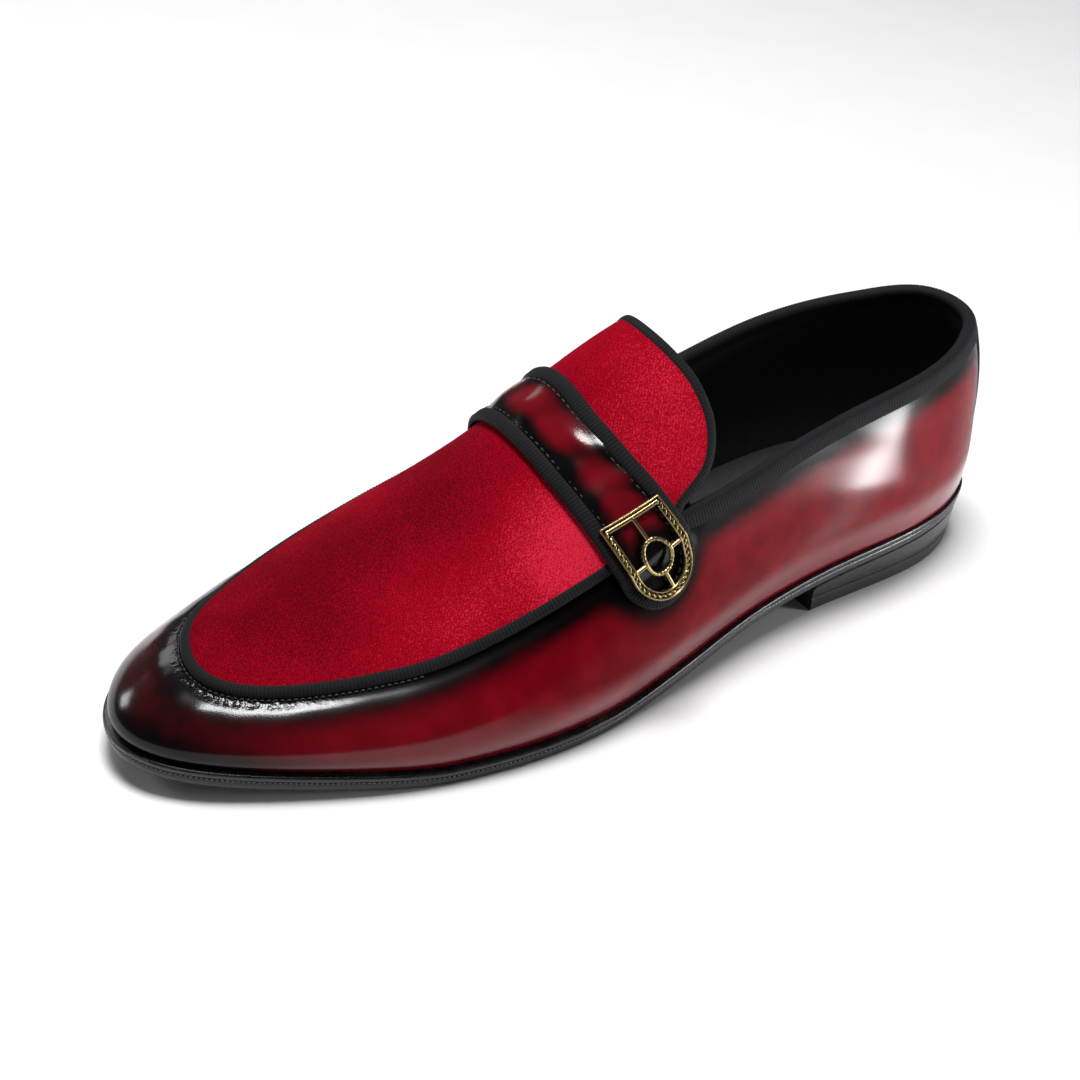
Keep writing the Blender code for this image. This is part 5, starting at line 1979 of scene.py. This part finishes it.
def stitch_row(name, base, normals, thread, stitch, space, width=THREAD_WIDTH):
    """Short threads along a line, thick in the middle and sunk at both ends."""
    lengths = path_length(base, False)
    one = tube_faces(len(SUNK), THREAD_SIDES, False)
    angles = np.arange(THREAD_SIDES) * 2.0 * math.pi / THREAD_SIDES
    girth = (width / 2 * GIRTH)[:, None, None]
    threads, faces = [], []
    for number in range(int(lengths[-1] / (stitch + space))):
        at = number * (stitch + space) + np.linspace(0.0, stitch, len(SUNK))
        line = np.stack([np.interp(at, lengths, base[:, k]) for k in range(3)], axis=-1)
        up = np.stack([np.interp(at, lengths, normals[:, k]) for k in range(3)], axis=-1)
        side = unit(np.cross(up, unit(np.gradient(line, axis=0))))
        middle = line + up * (SUNK * width)[:, None]
        around = up[:, None] * np.sin(angles)[:, None] + side[:, None] * np.cos(angles)[:, None]
        threads.append(middle[:, None] + girth * around)
        first = number * len(SUNK) * THREAD_SIDES
        faces += [[corner + first for corner in face] for face in one]
    add_piece(name, np.array(threads), faces, thread)


def sew(name, path, closed, inside, aside, height, rest=None, stitch=STITCH, space=STITCH_SPACE):
    """A row of stitches on the last, beside a path."""
    places, _, across = path_frame(path, closed, inside)
    turn, run = settle(places + across * aside)
    base, normals = on_last(turn, run)
    lift = height + (rest(turn, run) if rest else np.zeros(len(run)))
    stitch_row(name, base + normals * lift[:, None], normals, waxed_thread, stitch, space)


print("Ribbon stitches, mm long:", round(STITCH / MM, 1))

# %% Sewing the strap and the toe
STRAP_SEAM = STRAP_RIBBON_WIDTH + 0.5 * MM
ON_LEATHER = 0.05 * MM
TOE_SEWN = 1.0
TOE_SEAM = 0.7 * MM
sew("strap_stitches", STRAP_PATH, True, STRAP_CENTRE, STRAP_SEAM, STRAP + ON_LEATHER, rest=cover)
toe_turns = np.linspace(math.pi - TOE_SEWN, math.pi + TOE_SEWN, 900)
toe_line, _ = on_last(toe_turns, seam_run(toe_turns) - TOE_SEAM)
sew(
    "toe_stitches", even_path(toe_line, STEP), False, PLUG_MIDDLE, 0.0, ON_LEATHER,
    stitch=1.2 * MM, space=0.6 * MM,
)

# %% [markdown]
# ## The sole
# Outsole, welt and insole are cut from leather and board along the feather line, each with its
# own margin. They could be extruded from a curve and bevelled, but the sole also rises at waist
# and toe. So a layer is one closed profile swept round the outline, with its flat faces filled
# in strips from side to side. The profiles have the rounding that the trimming iron leaves.

# %% Outline of a layer
SOLE_POINTS = 480
LESS_AT_HEEL = WELT_MARGIN - SEAT_MARGIN
HEEL_TO_BALL = [0.25, 0.6]
CRISP = math.radians(40.0)


def sole_outline(margin, less=LESS_AT_HEEL):
    """The feather line moved out by a margin, which is less round the heel."""
    turns = ribs_round(SOLE_POINTS)
    plan = feather_line(turns)
    edge = np.interp(plan[:, 0] / LENGTH + 0.5, HEEL_TO_BALL, [margin - less, margin])
    return plan + feather_outward(turns) * edge[:, None]


print("Welt, mm broad:", round(float(np.ptp(sole_outline(WELT_MARGIN)[:, 1])) / MM, 1))


# %% Sweeping a layer of the sole
def filled_strips(first, flip):
    """Faces across a ring of points, from one side to the other."""
    faces = []
    for n in range(SOLE_POINTS // 2):
        face = [n, (n + 1) % SOLE_POINTS, SOLE_POINTS - 1 - n, (SOLE_POINTS - n) % SOLE_POINTS]
        face = [first + corner for k, corner in enumerate(face) if corner not in face[:k]]
        if len(face) > 2:
            faces.append(face[::-1] if flip else face)
    return faces


def sole_layer(name, margin, profile, material, node, hollow=False, less=LESS_AT_HEEL):
    """A layer whose profile gives how far in from its edge, and how high over the underside."""
    rings = []
    for inset, height in profile:
        plan = sole_outline(margin - inset, less)
        rings.append(np.column_stack([plan, sole_height(plan[:, 0]) + height]))
    faces = grid_faces(len(rings), SOLE_POINTS, closed_rows=hollow, closed_columns=True).tolist()
    if not hollow:
        faces += filled_strips(0, True) + filled_strips((len(rings) - 1) * SOLE_POINTS, False)
    piece = add_piece(name, np.array(rings), faces, material, [node], outward=True)
    piece.data.set_sharp_from_angle(angle=CRISP)


print("Edges sharper than", round(math.degrees(CRISP)), "degrees stay crisp")

# %% Making the outsole
DEEP_IN = 8.0 * MM
outsole_profile = [
    (DEEP_IN, 0.0),
    (1.0 * MM, 0.0),
    (0.35 * MM, 0.15 * MM),
    (0.05 * MM, 0.6 * MM),
    (0.0, 1.5 * MM),
    (0.05 * MM, 2.3 * MM),
    (0.30 * MM, 2.8 * MM),
    (0.75 * MM, OUTSOLE),
    (DEEP_IN, OUTSOLE),
]
outsole_margin = WELT_MARGIN - 0.5 * MM
sole_layer("outsole_edge_dressed", outsole_margin, outsole_profile, inked_edge, "outsole")

# %% Making the welt
welt_low = OUTSOLE + CLEARANCE
welt_profile = [
    (DEEP_IN, welt_low),
    (0.7 * MM, welt_low),
    (0.2 * MM, welt_low + 0.25 * MM),
    (0.0, welt_low + 0.8 * MM),
    (0.0, welt_low + 1.3 * MM),
    (0.2 * MM, welt_low + 1.75 * MM),
    (0.65 * MM, welt_low + WELT),
    (DEEP_IN, welt_low + WELT),
]
sole_layer("welt_waxed", WELT_MARGIN, welt_profile, waxed_welt, "welt", hollow=True)

# %% Making the insole
insole_low = welt_low + WELT + CLEARANCE
insole_high = insole_low + INSOLE
insole_profile = [(0.0, insole_low), (0.0, insole_high - 0.5 * MM), (0.5 * MM, insole_high)]
insole_margin = -(WALL + 2 * CLEARANCE)
sole_layer("insole_lined", insole_margin, insole_profile, lining, "insole", less=0.0)

# %% [markdown]
# ### Stitches of the welt
# A row of small stitches in pale grey thread runs round in the joint between welt and outsole. A
# line of dots could do from afar, but the ribbons' threads serve here too, smaller and with
# their upper side out from the sole.

# %% Sewing the welt
SEAM_INSIDE = 0.25 * MM
SEAM_UP = 0.15 * MM


def sew_welt():
    """The row of stitches in the joint, once round."""
    plan = sole_outline(WELT_MARGIN - SEAM_INSIDE)
    plan = np.concatenate([plan, plan[:1]])
    line = np.column_stack([plan, sole_height(plan[:, 0]) + OUTSOLE + SEAM_UP])
    along = np.gradient(plan, axis=0)
    outward = unit(np.column_stack([-along[:, 1], along[:, 0], np.zeros(len(plan))]))
    if np.sum(outward[:, :2] * plan) < 0.0:
        outward = -outward
    stitch_row("welt_stitches", line, outward, pale_grey_thread, 0.9 * MM, 0.5 * MM, 0.36 * MM)


sew_welt()

# %% [markdown]
# ## The heel
# The heel is a stack of leather lifts with a rubber top lift under it. It could be cut from
# the sole's outline with a boolean. Rings of points give the same with clean faces: each ring
# is the part of the outline behind the breast, which is the heel's front face. The stack tapers
# a little to the floor, and the breast leans slightly.

# %% Rings of the heel
HEEL_POINTS = 160
HEEL_TAPER = 1.2 * MM
BREAST = -LENGTH / 2 + HEEL_LENGTH
BREAST_LEAN = 1.5 * MM


def heel_ring(margin, height, top=None):
    """Outline of the heel at one height, or at a depth under the sole, breast to breast."""
    breast = BREAST + BREAST_LEAN * height / HEEL_HEIGHT
    end = math.acos(1.0 - 2.0 * ((BREAST + 1 * MM) / LENGTH + 0.5))
    turns = np.linspace(-end, end, HEEL_POINTS)
    plan = feather_line(turns) + feather_outward(turns) * (margin - LESS_AT_HEEL)
    plan[:, 0] = np.minimum(plan[:, 0], breast)
    z = np.full(HEEL_POINTS, height) if top is None else sole_height(plan[:, 0]) - top
    return np.column_stack([plan, z])


def heel_layer(name, rings, material, node):
    """A closed layer of the heel from its rings, bottom to top."""
    faces = grid_faces(len(rings), HEEL_POINTS, closed_columns=True).tolist()
    for first, flip in ((0, True), ((len(rings) - 1) * HEEL_POINTS, False)):
        last = first + HEEL_POINTS - 1
        for n in range(HEEL_POINTS // 2 - 1):
            face = [first + n, first + n + 1, last - n - 1, last - n]
            faces.append(face[::-1] if flip else face)
    piece = add_piece(name, np.array(rings), faces, material, [node], outward=True)
    piece.data.set_sharp_from_angle(angle=CRISP)


print("Heel breast, mm from the middle:", round(BREAST / MM, 1))

# %% Making the top lift
heel_margin = WELT_MARGIN - 1.1 * MM
lift_low = heel_margin - HEEL_TAPER
lift_high = heel_margin - HEEL_TAPER * 0.75
lift_rings = [
    heel_ring(lift_low - 0.5 * MM, 0.0),
    heel_ring(lift_low, 0.5 * MM),
    heel_ring(lift_high, TOP_LIFT - 0.3 * MM),
    heel_ring(lift_high - 0.3 * MM, TOP_LIFT),
]
heel_layer("top_lift_rubber", lift_rings, lift_rubber, "top_lift")

# %% Making the stack
block_low = TOP_LIFT + CLEARANCE
block_rings = [
    heel_ring(heel_margin - HEEL_TAPER * 0.7 - 0.3 * MM, block_low),
    heel_ring(heel_margin - HEEL_TAPER * 0.7, block_low + 0.3 * MM),
    heel_ring(heel_margin - HEEL_TAPER * 0.3, 9.0 * MM),
    heel_ring(heel_margin + 0.3 * MM, 0.0, top=0.6 * MM),
    heel_ring(heel_margin, 0.0, top=CLEARANCE),
]
heel_layer("heel_stack_inked", block_rings, inked_stack, "heel_block")

# %% [markdown]
# ## The filler
# The cork filler is shut in between outsole and insole, where nobody sees it. It could be
# modelled again, but its solid is good enough, so that is kept and only gets its finish.

# %% Finishing the filler
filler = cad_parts["filler"]
filler.data.materials.clear()
filler.data.materials.append(cork)
print("Filler finished as", filler.data.materials[0].name)

# %% [markdown]
# ## The floor
# The photograph was taken on white, on a broad sheet of paper. A curved sweep could join floor
# and wall, but from above only the floor is seen, so it is one flat sheet: matte, pale, with a
# mottle so faint that it only keeps the white from looking like paint.

# %% Making the floor
FLOOR_SIZE = 3.0
TOOTH = 40 * MM


def white_paper(name):
    """Paper. To the eye: even white without any shine."""
    material, shader, place = new_material(name)
    tooth = add_node(material, "TexNoise", {"Vector": place, "Scale": 1 / TOOTH}, "Fac")
    shades = {0: tooth, 6: linear("#F4F4F5"), 7: linear("#FAFAFA")}
    colour = add_node(material, "Mix", shades, 2, **COLOURS)
    fill(material, shader, {"Base Color": colour, "Roughness": 0.85})
    return material


def make_floor():
    """One square sheet under the shoe."""
    mesh = bpy.data.meshes.new("paper_floor")
    half = FLOOR_SIZE / 2
    corners = [(-half, -half, 0), (half, -half, 0), (half, half, 0), (-half, half, 0)]
    mesh.from_pydata(corners, [], [(0, 1, 2, 3)])
    mesh.materials.append(white_paper("white_paper"))
    floor = bpy.data.objects.new("paper_floor", mesh)
    bpy.context.scene.collection.objects.link(floor)


make_floor()

# %% [markdown]
# ## Light
# In the photograph broad soft light falls from above and from both sides. Big area lights give
# the long soft highlights on the polish, and the pale floor fills them from below. An image of
# a studio could light it too, but lamps can be placed one by one. A glossy spot shows a light
# only where it mirrors it to the camera, so the toe's light is placed by that mirror line.

# %% Where the camera stands
LOOK_AT = Vector((4.85, -38.25, 61.08)) * MM
AZIMUTH = math.radians(147.06)
ELEVATION = math.radians(29.18)
DISTANCE = 546.23 * MM
BACK = Vector((
    math.sin(AZIMUTH) * math.cos(ELEVATION),
    -math.cos(AZIMUTH) * math.cos(ELEVATION),
    math.sin(ELEVATION),
))
CAMERA_PLACE = LOOK_AT + BACK * DISTANCE
print("Camera, m:", [round(v, 3) for v in CAMERA_PLACE])

# %% Placing a light
LOWEST_LIGHT = 0.12


def add_softbox(name, place, size, power, aim=LOOK_AT):
    """A rectangular area light that faces the shoe."""
    lamp = bpy.data.lights.new(name, "AREA")
    lamp.shape = "RECTANGLE"
    lamp.size, lamp.size_y = size
    lamp.energy = power
    softbox = bpy.data.objects.new(name, lamp)
    softbox.location = place
    softbox.rotation_euler = (Vector(aim) - Vector(place)).to_track_quat("-Z", "Y").to_euler()
    bpy.context.scene.collection.objects.link(softbox)
    print(name, power, "W")
    return softbox


def mirrored_from(turn, run, distance):
    """Where a light stands whose mirror image the camera sees at a spot of the leather."""
    spot, normal = on_last(np.array([turn]), np.array([run]))
    spot, normal = Vector(spot[0]), Vector(normal[0])
    sight = (CAMERA_PLACE - spot).normalized()
    place = spot + (2.0 * sight.dot(normal) * normal - sight) * distance
    place.z = max(place.z, LOWEST_LIGHT)
    return place


print("No mirrored light stands lower than", LOWEST_LIGHT, "m")

# %% The lights
add_softbox("overhead", (0.05, 0.0, 1.3), (0.50, 0.34), 17.0)
add_softbox("quarter_glow", (-0.86, 0.78, 0.19), (0.24, 0.36), 5.0)
add_softbox("toe_glint", mirrored_from(math.pi, 11 * MM, 0.9), (0.20, 0.20), 1.2)
add_softbox("inner_side", (-0.2, -1.1, 0.9), (0.9, 0.5), 4.0)

# A small light close to the floor, which the camera doesn't see, gives the quarter its gleam
QUARTER = (-0.082, 0.036, 0.051)
low_strip = add_softbox("low_strip", (-0.203, 0.150, 0.020), (0.042, 0.034), 0.10, aim=QUARTER)
low_strip.visible_camera = False

# %% The dim room round the stage
ROOM = {"Color": (0.93, 0.94, 1.0, 1.0), "Strength": 0.07}
world = bpy.data.worlds.new("white_studio")
world.use_nodes = True
for name, value in ROOM.items():
    world.node_tree.nodes["Background"].inputs[name].default_value = value
bpy.context.scene.world = world
bpy.context.scene.view_settings.view_transform = "Standard"
print("Room light:", ROOM["Strength"])

# %% [markdown]
# ## Camera
# The camera stands where the photograph's did, on the outer side ahead of the toe, and is
# rolled as it was. A camera could be matched by eye, but its place was fitted to points of the
# photograph. It is aimed at the one shoe with a longer lens, so that the shoe fills the frame
# and its perspective stays the same.

# %% Making the camera
ROLL = math.radians(2.56)
PHOTO_FOCAL = 1449.9
PHOTO_SIZE = 1080.0
SENSOR = 36.0
CLOSER = 1.22
SHOE_IN_PHOTO = (567.0, 655.0)


def make_camera():
    """The photograph's own viewpoint, rolled as it is, with the one shoe in the middle."""
    forward = -BACK
    right = forward.cross(Vector((0, 0, 1))).normalized()
    up = right.cross(forward)
    right_rolled = right * math.cos(ROLL) + up * math.sin(ROLL)
    up_rolled = up * math.cos(ROLL) - right * math.sin(ROLL)
    aside, below = [(at - PHOTO_SIZE / 2) / PHOTO_FOCAL for at in SHOE_IN_PHOTO]
    aim = (forward + right_rolled * aside - up_rolled * below).normalized()
    right_aimed = (right_rolled - aim * right_rolled.dot(aim)).normalized()
    axes = Matrix([right_aimed, right_aimed.cross(aim), -aim]).transposed()
    lens = bpy.data.cameras.new("photo_camera")
    lens.sensor_width = SENSOR
    lens.sensor_fit = "HORIZONTAL"
    lens.lens = PHOTO_FOCAL / PHOTO_SIZE * SENSOR * CLOSER
    camera = bpy.data.objects.new("photo_camera", lens)
    camera.matrix_world = Matrix.Translation(CAMERA_PLACE) @ axes.to_4x4()
    bpy.context.scene.collection.objects.link(camera)
    bpy.context.scene.camera = camera
    print("Lens, mm:", round(lens.lens, 1))


make_camera()
